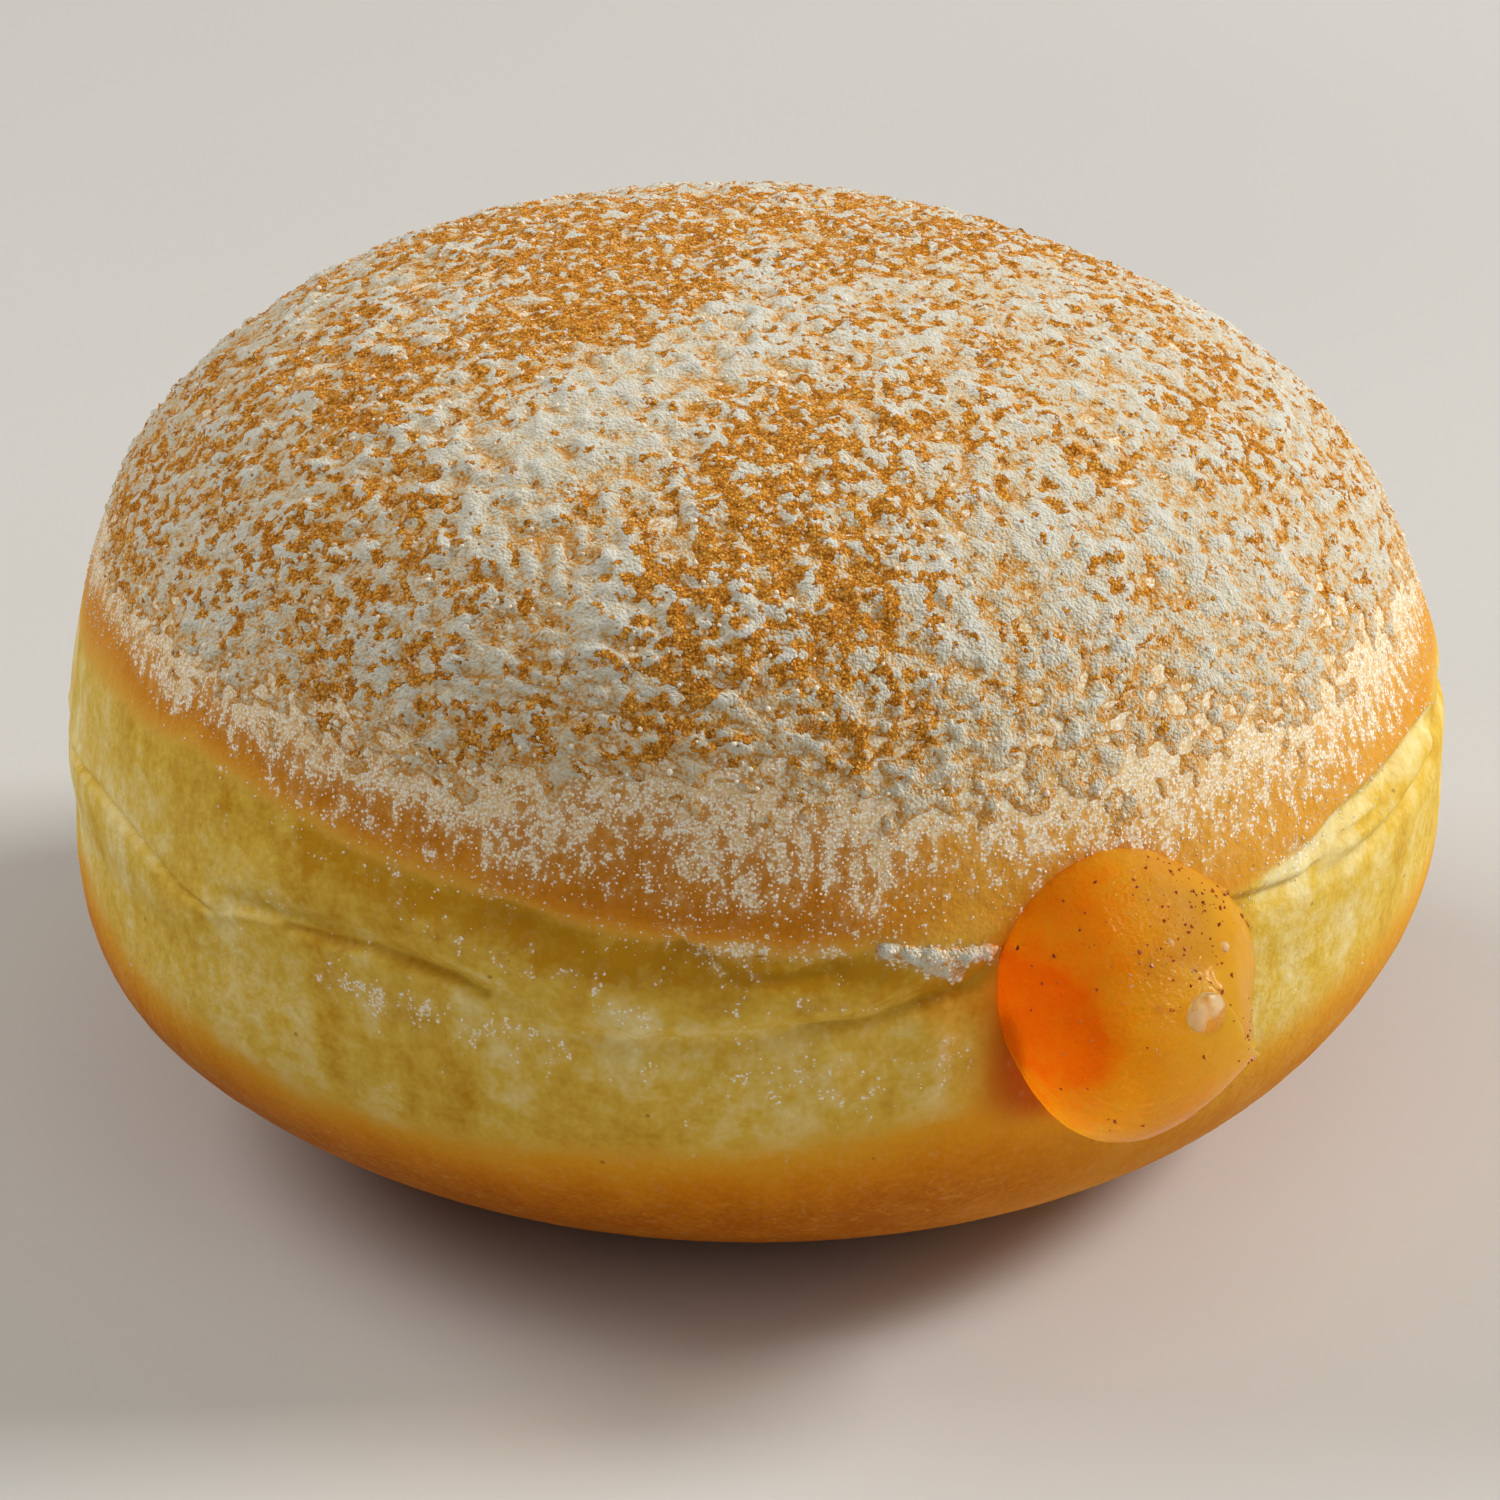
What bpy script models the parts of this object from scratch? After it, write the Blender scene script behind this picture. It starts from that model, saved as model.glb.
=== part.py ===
"""A filled doughnut: a plump round bun without a hole through it, with jelly swelling out of its filling hole.

The bun is one body. The filling is a second one: the lump outside, and the plug that runs in to the middle.
Sizes are in millimetres here and become metres where points are made. The front is -Y, and azimuths are in
degrees from the front towards +X.
"""

import math
from collections import namedtuple

import bmesh
import bpy
import numpy as np
from mathutils import Vector

MM = 0.001

# The bun: width and height, how full its sides are, and how its top leans off the middle
RADIUS = 45.0
DEPTH_RATIO = 0.98
HEIGHT = 57.0
WIDEST_HEIGHT = 22.8
FLATTENED = 1.0
FULLNESS = 2.6
LEAN_X, LEAN_Y = -2.2, -2.5
LOWER_OVAL, LOWER_OVAL_AT = 0.011, -48.0
LOWER_TRIPLE, LOWER_TRIPLE_AT = 0.0085, 19.0
UPPER_TRIPLE, UPPER_TRIPLE_AT = 0.021, -38.0
DIMPLE_DEPTH, DIMPLE_SIZE, DIMPLE_TWIST = 0.16, 6.5, 9.0

# Soft swellings and flat places that handling and frying left, by azimuth and latitude
Swelling = namedtuple("Swelling", "azimuth latitude reach_round reach_up height")
SWELLINGS = (
    Swelling(-100, 14, 22, 9, -0.45),
    Swelling(-66, -20, 20, 10, 0.65),
    Swelling(-30, -24, 18, 10, -0.5),
    Swelling(22, -28, 20, 12, 0.45),
    Swelling(60, -24, 20, 10, -0.45),
    Swelling(140, 40, 18, 12, -0.75),
    Swelling(-150, 44, 20, 12, -1.2),
    Swelling(180, 52, 25, 14, 1.0),
)

# Creases of the pale band, each with the lips that the dough makes above and below it
Crease = namedtuple("Crease", "start end from_height by_height to_height depth half_width lip_above lip_below")
CREASES = (
    Crease(-84, -45, 28.6, 28.6, 26.0, 0.5, 0.7, -0.2, 0.4),
    Crease(-47, -15, 27.2, 28.2, 24.8, 0.7, 0.7, 0.4, 0.1),
    Crease(-20, 21, 24.6, 24.4, 28.0, 0.8, 0.9, 0.45, 0.2),
    Crease(-24, 13, 32.6, 30.4, 29.4, 0.9, 1.4, 0.4, 0.1),
    Crease(34, 84, 28.4, 27.4, 30.2, 0.7, 0.8, 0.4, 0.35),
    Crease(50, 80, 30.4, 30.4, 30.8, 0.3, 0.7, 0.2, 0.0),
    Crease(78, 170, 30.2, 27.4, 27.6, 0.6, 0.9, 0.25, 0.25),
    Crease(162, 282, 27.4, 26.8, 28.6, 0.4, 0.8, 0.1, 0.25),
)
LIP_OFFSET, LIP_REACH = 2.1, 2.6
CREASE_FADE = 7.0

# The hole made by the filling nozzle, and the lump of jelly round its mouth
HOLE_AZIMUTH = 29.9
HOLE_HEIGHT = 25.4
HOLE_RADIUS = 5.6
HOLE_END = 6.0
HOLE_CUT_PAST_SKIN, PLUG_PAST_SKIN = 12.0, 1.5
GAP = 0.3
Lobe = namedtuple("Lobe", "along up out radius_along radius_up radius_out")
LOBES = (
    Lobe(-0.4, -2.1, 2.1, 7.3, 5.6, 7.0),
    Lobe(2.6, -0.4, -0.8, 6.8, 6.4, 6.0),
    Lobe(-0.9, 1.0, -0.6, 7.3, 7.3, 6.5),
    Lobe(-0.5, -5.9, 0.5, 3.6, 4.4, 3.3),
)
LOBE_BLEND = 12.0

# How finely each piece is divided
BUN_COLUMNS = 84
BAND_LOW, BAND_HIGH = 20.0, 34.5
ROWS_UNDER, ROWS_IN_BAND, ROWS_OVER = 11, 22, 14
LUMP_COLUMNS, LUMP_ROWS = 44, 26
HOLE_SIDES = 28
HOLE_END_ROWS = 4

# What the pieces are moved by, so that the whole is centred over the origin
CENTRE_X, CENTRE_Y = 0.15, -1.38


def smooth_step(value):
    """0 to 1 with a level start and end."""
    t = np.clip(value, 0.0, 1.0)
    return t * t * (3.0 - 2.0 * t)


def turned_by(azimuth, other):
    """Degrees from one azimuth to the other, between -180 and 180."""
    return (azimuth - other + 180.0) % 360.0 - 180.0


def crease_relief(azimuth, height):
    """How far the side stands out (+) or is drawn in (-) round each crease."""
    relief = np.zeros_like(height)
    for crease in CREASES:
        middle = (crease.start + crease.end) / 2.0
        half_span = (crease.end - crease.start) / 2.0
        off = turned_by(azimuth, middle)
        t = off / half_span
        line = (
            crease.by_height
            + t * (crease.to_height - crease.from_height) / 2.0
            + t * t * ((crease.from_height + crease.to_height) / 2.0 - crease.by_height)
        )
        strength = smooth_step((half_span - np.abs(off)) / CREASE_FADE)
        over = height - line
        groove = -crease.depth * np.exp(-((over / crease.half_width) ** 2))
        above = crease.lip_above * np.exp(-(((over - LIP_OFFSET) / LIP_REACH) ** 2))
        below = crease.lip_below * np.exp(-(((over + LIP_OFFSET) / LIP_REACH) ** 2))
        relief += strength * (groove + above + below)
    return relief


def dough_points(azimuth, latitude):
    """Points of the bun's skin, for arrays of azimuth and latitude in degrees."""
    a = np.radians(azimuth)
    s = np.radians(latitude)
    upper = latitude > 0
    half_height = np.where(upper, HEIGHT - WIDEST_HEIGHT, WIDEST_HEIGHT + FLATTENED)
    z = WIDEST_HEIGHT + half_height * np.sign(s) * np.abs(np.sin(s)) ** (2.0 / FULLNESS)
    share_up = 0.5 + 0.5 * np.sin(s)
    out_of_round = (
        share_up * UPPER_TRIPLE * np.cos(3 * (a - math.radians(UPPER_TRIPLE_AT)))
        + (1 - share_up) * LOWER_OVAL * np.cos(2 * (a - math.radians(LOWER_OVAL_AT)))
        + (1 - share_up) * LOWER_TRIPLE * np.cos(3 * (a - math.radians(LOWER_TRIPLE_AT)))
    )
    level = np.abs(np.cos(s)) ** (2.0 / FULLNESS)
    r = RADIUS * level * (1 + out_of_round)
    for swelling in SWELLINGS:
        round_off = turned_by(azimuth, swelling.azimuth) / swelling.reach_round
        up_off = (latitude - swelling.latitude) / swelling.reach_up
        r = r + level * swelling.height * np.exp(-(round_off**2 + up_off**2) / 2.0)
    r = r + crease_relief(azimuth, z)
    across, forward = r * np.sin(a) / DIMPLE_SIZE, r * np.cos(a) / DIMPLE_SIZE
    dimple = np.sin(across) * np.sin(forward + z / DIMPLE_TWIST)
    z = z + DIMPLE_DEPTH * dimple * np.clip(np.sin(s), 0.0, 1.0)
    risen = np.clip((z - WIDEST_HEIGHT) / (HEIGHT - WIDEST_HEIGHT), 0.0, None)
    x = r * np.sin(a) + LEAN_X * risen
    y = -DEPTH_RATIO * r * np.cos(a) + LEAN_Y * risen
    return np.stack([x, y, np.maximum(z, 0.0)], axis=-1)


def latitude_at(height):
    """The latitude whose skin has this height."""
    half_height = HEIGHT - WIDEST_HEIGHT if height > WIDEST_HEIGHT else WIDEST_HEIGHT + FLATTENED
    share = (height - WIDEST_HEIGHT) / half_height
    return math.degrees(math.asin(math.copysign(abs(share) ** (FULLNESS / 2.0), share)))


def row_latitudes():
    """Latitudes of the rows: even in height across the creased band, wider apart above and below it."""
    low, high = latitude_at(BAND_LOW), latitude_at(BAND_HIGH)
    under = np.linspace(-90.0, low, ROWS_UNDER + 1)[:-1]
    band = [latitude_at(h) for h in np.linspace(BAND_LOW, BAND_HIGH, ROWS_IN_BAND + 1)]
    over = np.linspace(high, 90.0, ROWS_OVER + 1)[1:]
    return np.concatenate([under, band, over])


def material(name, colour, roughness):
    made = bpy.data.materials.new(name)
    made.use_nodes = True
    shader = made.node_tree.nodes["Principled BSDF"]
    shader.inputs["Base Color"].default_value = (*colour, 1.0)
    shader.inputs["Roughness"].default_value = roughness
    shader.inputs["Metallic"].default_value = 0.0
    return made


def new_object(name, bm, made=None):
    bmesh.ops.recalc_face_normals(bm, faces=bm.faces)
    mesh = bpy.data.meshes.new(name)
    bm.to_mesh(mesh)
    bm.free()
    mesh.shade_smooth()
    obj = bpy.data.objects.new(name, mesh)
    bpy.context.scene.collection.objects.link(obj)
    if made:
        mesh.materials.append(made)
    return obj


def bun_mesh(grown=0.0):
    """A ball pressed to the bun's form, and grown outwards by a clearance where it is only a guide."""
    latitudes = row_latitudes()
    bm = bmesh.new()
    bmesh.ops.create_uvsphere(bm, u_segments=BUN_COLUMNS, v_segments=len(latitudes) - 1, radius=1.0)
    directions = np.array([vert.co for vert in bm.verts])
    azimuth = np.degrees(np.arctan2(directions[:, 0], -directions[:, 1]))
    even = np.degrees(np.arcsin(np.clip(directions[:, 2], -1.0, 1.0)))
    latitude = np.interp(even, np.linspace(-90.0, 90.0, len(latitudes)), latitudes)
    points = dough_points(azimuth, latitude)
    for vert, point in zip(bm.verts, points):
        vert.co = Vector(point) * MM
    bm.normal_update()
    if grown:
        moved = [vert.co + vert.normal * grown * MM for vert in bm.verts]
        for vert, place in zip(bm.verts, moved):
            vert.co = place
    return bm


def hole_frame():
    """The mouth of the filling hole, and the directions along the skin, up, and out of the bun."""
    latitude = latitude_at(HOLE_HEIGHT)
    mouth = dough_points(np.array([HOLE_AZIMUTH]), np.array([latitude]))[0]
    turn = math.radians(HOLE_AZIMUTH)
    out = Vector((math.sin(turn), -math.cos(turn), 0.0))
    along = Vector((math.cos(turn), math.sin(turn), 0.0))
    return Vector(mouth), along, Vector((0.0, 0.0, 1.0)), out


def lobe_reach(lobe, ways):
    """How far each way from the lump's middle leads before it leaves the lobe."""
    centre = np.array([lobe.along, lobe.up, lobe.out])
    radii = np.array([lobe.radius_along, lobe.radius_up, lobe.radius_out])
    w = ways / radii
    c = centre / radii
    a = (w * w).sum(axis=1)
    b = (w * c).sum(axis=1)
    rest = b * b - a * ((c * c).sum() - 1.0)
    return np.where(rest > 0, (b + np.sqrt(np.abs(rest))) / a, 0.0).clip(0.0)


def lump_mesh():
    """The jelly outside the bun: several soft lobes run together."""
    mouth, along, up, out = hole_frame()
    bm = bmesh.new()
    bmesh.ops.create_uvsphere(bm, u_segments=LUMP_COLUMNS, v_segments=LUMP_ROWS, radius=1.0)
    ways = np.array([(vert.co.x, vert.co.z, -vert.co.y) for vert in bm.verts])
    ways /= np.linalg.norm(ways, axis=1, keepdims=True)
    blended = sum(lobe_reach(lobe, ways) ** LOBE_BLEND for lobe in LOBES) ** (1.0 / LOBE_BLEND)
    for vert, way, far in zip(bm.verts, ways, blended):
        t, h, o = way * far
        vert.co = (mouth + along * t + up * h + out * o) * MM
    return bm


def bar_mesh(radius, past_skin, end):
    """A round bar along the hole, from outside the skin in to where its domed end stops short of the middle."""
    mouth, along, up, out = hole_frame()
    tip = end - mouth.dot(out)
    rings = [(past_skin, radius)]
    for row in range(HOLE_END_ROWS):
        turn = row / HOLE_END_ROWS * math.pi / 2
        rings.append((tip + radius * (1 - math.sin(turn)), radius * math.cos(turn)))
    bm = bmesh.new()
    loops = []
    for depth, ring_radius in rings:
        ring = bmesh.ops.create_circle(bm, segments=HOLE_SIDES, radius=ring_radius)["verts"]
        for vert in ring:
            vert.co = (mouth + along * vert.co.x + up * vert.co.y + out * depth) * MM
        loops.append(set(ring))
    for pair in zip(loops, loops[1:]):
        edges = [edge for edge in bm.edges if any(set(edge.verts) <= loop for loop in pair)]
        bmesh.ops.bridge_loops(bm, edges=edges)
    for loop in (loops[0], loops[-1]):
        bmesh.ops.contextual_create(bm, geom=list(loop))
    return bm


def boolean(obj, other, operation):
    modifier = obj.modifiers.new(operation.lower(), "BOOLEAN")
    modifier.operation = operation
    modifier.object = other
    other.hide_render = True
    other.display_type = "WIRE"


for old in list(bpy.data.objects):
    bpy.data.objects.remove(old, do_unlink=True)

dough = material("fried dough", (0.55, 0.33, 0.09), 0.62)
jelly = material("apricot jelly", (0.62, 0.24, 0.01), 0.12)

# The bun, with the hole that the filling went in by
doughnut = new_object("doughnut", bun_mesh(), dough)
nozzle_hole = new_object("nozzle_hole", bar_mesh(HOLE_RADIUS, HOLE_CUT_PAST_SKIN, HOLE_END))
boolean(doughnut, nozzle_hole, "DIFFERENCE")

# The filling: the lump outside, fitted to the skin, and the plug behind it
filling = new_object("filling", lump_mesh(), jelly)
skin_clearance = new_object("skin_clearance", bun_mesh(GAP))
plug = new_object("plug", bar_mesh(HOLE_RADIUS - GAP, PLUG_PAST_SKIN, HOLE_END + GAP))
boolean(filling, skin_clearance, "DIFFERENCE")
boolean(filling, plug, "UNION")

for piece in (doughnut, nozzle_hole, filling, skin_clearance, plug):
    piece.location = (-CENTRE_X * MM, -CENTRE_Y * MM, 0.0)
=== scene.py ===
"""A filled doughnut dusted with icing sugar and cinnamon, with apricot jelly swelling out of its side.

Sizes are in millimetres in the shape functions and become metres where a mesh is made. Azimuths are in
degrees from the front (-Y) towards +X, and latitudes run from the flat base (-90) to the top (90).
"""

import math
from collections import namedtuple
from functools import partial

import bmesh
import bpy
import numpy as np
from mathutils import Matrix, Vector


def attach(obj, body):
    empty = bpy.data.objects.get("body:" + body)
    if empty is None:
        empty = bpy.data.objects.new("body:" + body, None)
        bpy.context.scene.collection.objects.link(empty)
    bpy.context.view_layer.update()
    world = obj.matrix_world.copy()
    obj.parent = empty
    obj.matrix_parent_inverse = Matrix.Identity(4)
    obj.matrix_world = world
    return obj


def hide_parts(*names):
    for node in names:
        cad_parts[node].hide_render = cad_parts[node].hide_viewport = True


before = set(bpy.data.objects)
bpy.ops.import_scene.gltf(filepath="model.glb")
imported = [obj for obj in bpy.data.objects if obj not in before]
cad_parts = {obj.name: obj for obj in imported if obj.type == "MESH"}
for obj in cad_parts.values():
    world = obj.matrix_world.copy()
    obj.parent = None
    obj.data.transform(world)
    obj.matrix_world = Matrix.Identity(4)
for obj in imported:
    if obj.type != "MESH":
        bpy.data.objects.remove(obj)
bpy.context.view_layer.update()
MM = 0.001

# The bun's form, as its solid has it
RADIUS = 45.0
DEPTH_RATIO = 0.98
HEIGHT = 57.0
WIDEST_HEIGHT = 22.8
FLATTENED = 1.0
FULLNESS = 2.6
LEAN_X, LEAN_Y = -2.2, -2.5
LOWER_OVAL, LOWER_OVAL_AT = 0.011, -48.0
LOWER_TRIPLE, LOWER_TRIPLE_AT = 0.0085, 19.0
UPPER_TRIPLE, UPPER_TRIPLE_AT = 0.021, -38.0
DIMPLE_DEPTH, DIMPLE_SIZE, DIMPLE_TWIST = 0.16, 6.5, 9.0
Swelling = namedtuple("Swelling", "azimuth latitude reach_round reach_up height")
SWELLINGS = (
    Swelling(-100, 14, 22, 9, -0.45),
    Swelling(-66, -20, 20, 10, 0.65),
    Swelling(-30, -24, 18, 10, -0.5),
    Swelling(22, -28, 20, 12, 0.45),
    Swelling(60, -24, 20, 10, -0.45),
    Swelling(140, 40, 18, 12, -0.75),
    Swelling(-150, 44, 20, 12, -1.2),
    Swelling(180, 52, 25, 14, 1.0),
)
Crease = namedtuple("Crease", "start end from_height by_height to_height depth half_width lip_above lip_below")
CREASES = (
    Crease(-84, -45, 28.6, 28.6, 26.0, 0.5, 0.7, -0.2, 0.4),
    Crease(-47, -15, 27.2, 28.2, 24.8, 0.7, 0.7, 0.4, 0.1),
    Crease(-20, 21, 24.6, 24.4, 28.0, 0.8, 0.9, 0.45, 0.2),
    Crease(-24, 13, 32.6, 30.4, 29.4, 0.9, 1.4, 0.4, 0.1),
    Crease(34, 84, 28.4, 27.4, 30.2, 0.7, 0.8, 0.4, 0.35),
    Crease(50, 80, 30.4, 30.4, 30.8, 0.3, 0.7, 0.2, 0.0),
    Crease(78, 170, 30.2, 27.4, 27.6, 0.6, 0.9, 0.25, 0.25),
    Crease(162, 282, 27.4, 26.8, 28.6, 0.4, 0.8, 0.1, 0.25),
)
LIP_OFFSET, LIP_REACH = 2.1, 2.6
CREASE_FADE = 7.0
HOLE_AZIMUTH = 29.9
HOLE_HEIGHT = 25.4
HOLE_RADIUS = 5.6
# How far the skin sinks at the mouth of the hole, under the jelly
MOUTH_PIT = 4.2
Lobe = namedtuple("Lobe", "along up out radius_along radius_up radius_out")
LOBES = (
    Lobe(-0.4, -2.1, 2.1, 7.3, 5.6, 7.0),
    Lobe(2.6, -0.4, -0.8, 6.8, 6.4, 6.0),
    Lobe(-0.9, 1.0, -0.6, 7.3, 7.3, 6.5),
    Lobe(-0.5, -5.9, 0.5, 3.6, 4.4, 3.3),
)
LOBE_BLEND = 12.0
# It fills the lower lobe's sides
LOW_FILL = Lobe(-1.2, -4.3, 2.0, 5.2, 4.9, 5.4)
# A tip low on the right, where the spout left the jelly, and the fold that runs down to it: places along and up
TIP = np.array([6.4, -4.0, 5.7])
TIP_LENGTH, TIP_SPREAD = 1.1, 0.10
JELLY_FOLD = ((-1.8, 4.1), (0.0, 3.4), (1.3, 2.7), (2.2, 1.8), (2.8, 0.8), (3.2, 0.0), (3.7, -1.3), (5.3, -3.3))
# How far the lower lobe laps over the upper one, and how deep the skin dips beside it
LAP, DIP = 0.55, 0.35
FINE_BUBBLES = 26
# The middle of the solid's box before it was set on the origin
CENTRE = np.array([0.15, -1.38, 0.0])

# Where the browning of the cap ends above the pale band, and where that of the base begins below it
CAP_EDGE = ((-180, 33.5), (-120, 33.5), (-76, 35.2), (-50, 36.0), (-37, 34.8), (-25, 33.2), (-14, 31.2), (-4, 30.2),
            (8, 29.6), (25, 29.6), (42, 28.4), (50, 29.5), (55, 30.7), (66, 31.6), (78, 31.7), (130, 32.5))
# Over how many millimetres the browning of the cap comes in
CAP_FADE = ((-180, 6.0), (-80, 4.5), (-40, 3.5), (5, 3.2), (30, 3.2), (42, 1.4), (78, 1.4), (95, 4.5))
BASE_EDGE = ((-180, 17.8), (-120, 17.8), (-74, 20.4), (-64, 19.2), (-39, 15.4), (-24, 15.4), (-4, 16.2), (8, 17.4),
             (20, 18.8), (44, 17.6), (54, 18.9), (67, 20.6), (82, 21.6), (130, 19.0))
# The coat's net: its meshes across, the height of its rim, which stays under the crust, and its thickest curds
COAT_MESHES, COAT_LOWEST, COAT_THICKEST = 306, 25.6, 0.85
# Where the sugar lies thick, and where its last fine dust ends
COAT_EDGE = ((-180, 41.0), (-120, 41.5), (-75, 41.3), (-40, 40.2), (-24, 38.6), (-11, 39.4), (-3, 39.6), (13, 38.0),
             (32, 36.6), (48, 36.4), (66, 36.6), (90, 38.5), (130, 40.0))
DUST_EDGE = ((-180, 35.0), (-120, 35.5), (-76, 37.6), (-51, 37.5), (-38, 35.9), (-28, 34.0), (-19, 32.8), (-11, 31.8),
             (-3, 30.4), (5, 30.2), (12, 30.6), (21, 31.0), (30, 30.4), (39, 28.8), (51, 29.6), (65, 31.4), (90, 34.0))
# Fine folds of the skin: each a line of (azimuth, height) places, its half width, and how far it stands out (+)
# or is drawn in (-)
FOLDS = (
    # The thin crease on the left, the flake of skin where it ends, and the crease that follows it
    (((-76, 27.9), (-67.5, 28.4), (-62.5, 28.4), (-59, 28.0), (-54.5, 27.2), (-51, 26.4), (-47, 26.1)), 0.24,
     -0.34),
    (((-84, 28.6), (-80, 28.8), (-74, 28.9), (-67.5, 28.8), (-62.5, 28.45), (-59, 28.1), (-54.5, 27.6),
      (-51, 27.1), (-47, 26.4)), 0.75, 0.38),
    (((-46.5, 25.9), (-43, 27.0), (-41, 27.2), (-38.5, 27.7), (-36.5, 27.9)), 0.3, 0.14),
    (((-38, 27.4), (-30, 27.6), (-26, 27.1), (-23.5, 26.7), (-21, 25.9)), 0.32, -0.5),
    (((-21, 25.9), (-16.5, 25.3), (-12, 24.9)), 0.5, -0.15),
    # The slanting ridge and the valley above it, under the edge of the cap
    (((-24, 30.3), (-19, 29.1), (-17, 28.5), (-14.5, 27.9), (-11.5, 27.4), (-9.5, 26.6)), 0.9, 0.4),
    (((-20, 31.8), (-18, 31.2), (-14.5, 30.1), (-12, 28.8), (-10, 28.5), (-7, 29.2)), 1.2, -0.6),
    # The small roll in the middle and the crease under it
    (((-5.5, 30.4), (-3.5, 29.6), (-2, 28.8), (-0.5, 28.4), (2.5, 28.3), (4, 28.4), (7, 28.9)), 0.42, -0.55),
    (((-5, 31.6), (-2.5, 30.2), (1, 29.7), (5, 29.7), (8, 29.9)), 0.8, 0.3),
    # The seam in front, and the swellings over and under it
    (((4, 24.9), (8.5, 24.9), (13, 25.8), (17, 26.5), (18.5, 27.6), (20, 28.8)), 0.3, -0.42),
    (((-7, 26.0), (-1, 25.4), (4, 24.9)), 0.5, -0.15),
    (((-15, 24.8), (-8, 24.7), (0, 25.0)), 1.1, 0.4),
    (((1, 26.9), (9, 26.3)), 1.4, 0.3),
    (((-8.5, 26.3), (-9, 23.7), (-8.5, 21.0)), 1.3, 0.32),
    (((-3, 21.4), (-2.5, 18.3)), 1.0, 0.16),
    (((3.5, 24.4), (4.5, 23.7), (6, 21.0)), 1.2, 0.3),
    (((13.5, 24.3), (14, 21.7), (13.5, 19.7)), 1.5, 0.25),
    # The sunk strip on the right, between the overhanging cap and the lip of the lower half
    (((40, 28.3), (44, 28.0), (49, 27.6), (53, 28.0), (55, 28.8), (61, 28.9), (64.5, 30.0), (67, 31.3)), 0.28,
     -0.28),
    (((51, 28.8), (54.5, 29.6), (58, 30.1), (61, 30.2), (64.5, 30.7), (69, 31.3), (74, 31.2)), 0.85, -0.4),
    (((38, 28.2), (50, 27.6), (58, 27.5), (66, 28.2), (73, 29.2)), 0.9, 0.42),
    (((50, 30.2), (54.5, 31.2), (58.5, 31.8), (64.5, 32.1), (69, 32.3), (75, 32.0)), 0.5, 0.24),
    (((44, 27.0), (52, 26.8), (56, 27.9), (61, 28.0), (64.5, 28.8), (67, 30.0), (73, 30.0)), 0.7, 0.18),
    # The seam round the back
    (((78, 30.0), (100, 28.0), (125, 27.4), (150, 27.5), (170, 27.2)), 0.32, -0.4),
    (((176, 27.2), (200, 26.8), (225, 26.9), (250, 27.5), (276, 28.2)), 0.32, -0.38),
    (((118, 30.6), (135, 30.0), (149, 30.9)), 0.5, -0.3),
    (((205, 24.2), (222, 23.7), (236, 24.4)), 0.45, -0.25),
)
# Where dust of sugar caught on the band's ridges: lines of places, how far it spreads, and how much there is
DUST_LINES = (
    (((-28, 32.4), (-27.5, 31.4), (-26.5, 30.3)), 1.1, 0.45),
    (((-24, 30.3), (-17, 28.5), (-11.5, 27.4), (-9.5, 26.6)), 0.9, 0.5),
    (((-3.5, 30.3), (-0.5, 29.9), (3.5, 29.9), (7, 29.6)), 0.6, 0.7),
    (((2, 26.9), (9, 26.3)), 0.7, 0.5),
    (((-34, 24.4), (-29, 24.3), (-23, 23.9), (-15, 22.9)), 1.4, 0.6),
    (((-9, 24.6), (-8.5, 22.8)), 1.1, 0.5),
    (((0.5, 22.2), (3.5, 21.6), (8, 19.6)), 1.7, 0.55),
    (((13, 21.0), (15, 22.6)), 1.6, 0.45),
    (((10.5, 29.8), (12.5, 29.5), (15.5, 29.2), (19, 28.8)), 0.75, 1.25),
    (((13.8, 28.6), (15, 28.2), (16, 27.4)), 0.8, 1.2),
    (((46, 29.6), (52, 29.4)), 0.9, 0.5),
    (((150, 24.0), (170, 23.4)), 1.5, 0.45),
    (((208, 30.0), (226, 30.4)), 1.2, 0.45),
)
# Where more (+) or less (-) cinnamon fell: across, forward, reach and amount
DRIFTS = (
    (-10.4, -8.0, 9.0, 0.42), (-8.7, 2.5, 8.0, 0.30), (3.0, -23.0, 7.0, 0.38), (3.5, -32.0, 6.5, 0.30),
    (6.2, -34.0, 4.0, 0.10), (-4.5, -36.0, 4.5, 0.16), (-20.4, -27.0, 6.0, 0.02), (-30.5, -9.9, 8.0, 0.15),
    (-21.0, -13.6, 6.0, 0.20), (28.0, -15.0, 6.0, 0.20), (12.8, 8.8, 9.0, 0.30), (-0.4, 13.0, 9.0, 0.20),
    (-13.5, 11.4, 8.0, 0.30), (-7.2, -16.0, 5.0, -0.50), (-11.0, -24.0, 5.0, -0.35), (-10.0, -32.5, 4.0, -0.25),
    (15.0, -30.0, 6.0, -0.25), (22.0, -8.0, 6.0, -0.15), (-1.0, -13.0, 5.0, -0.30), (30.0, -24.0, 7.0, -0.45),
    (-6.0, -29.5, 4.0, 0.14),
)
# Round the bun: how strongly the cap and the base are browned, how much sugar is breathed on the band, and how
# much painted shade darkens the band under the edge of the cap
CAP_STRENGTH = ((-70, 0.75), (-40, 0.95), (6, 0.95), (18, 0.45), (45, 0.45), (80, 0.55))
BASE_STRENGTH = ((-80, 0.85), (-40, 1.0), (10, 0.96), (32, 0.56), (70, 0.55))
BREATH_STRENGTH = ((-60, 0.4), (-35, 1.0), (22, 1.0), (40, 0.5))
PAINTED_SHADE_UNDER_CAP = ((-80, 0.1), (-45, 0.3), (-25, 0.6), (30, 0.6), (45, 0.0), (80, 0.1))
# The strip of unbrowned skin between the overhang and the lip on the right
PALE_STRIP = ((46, 28.9), (55, 29.7), (64, 30.6), (74, 31.2))
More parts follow.
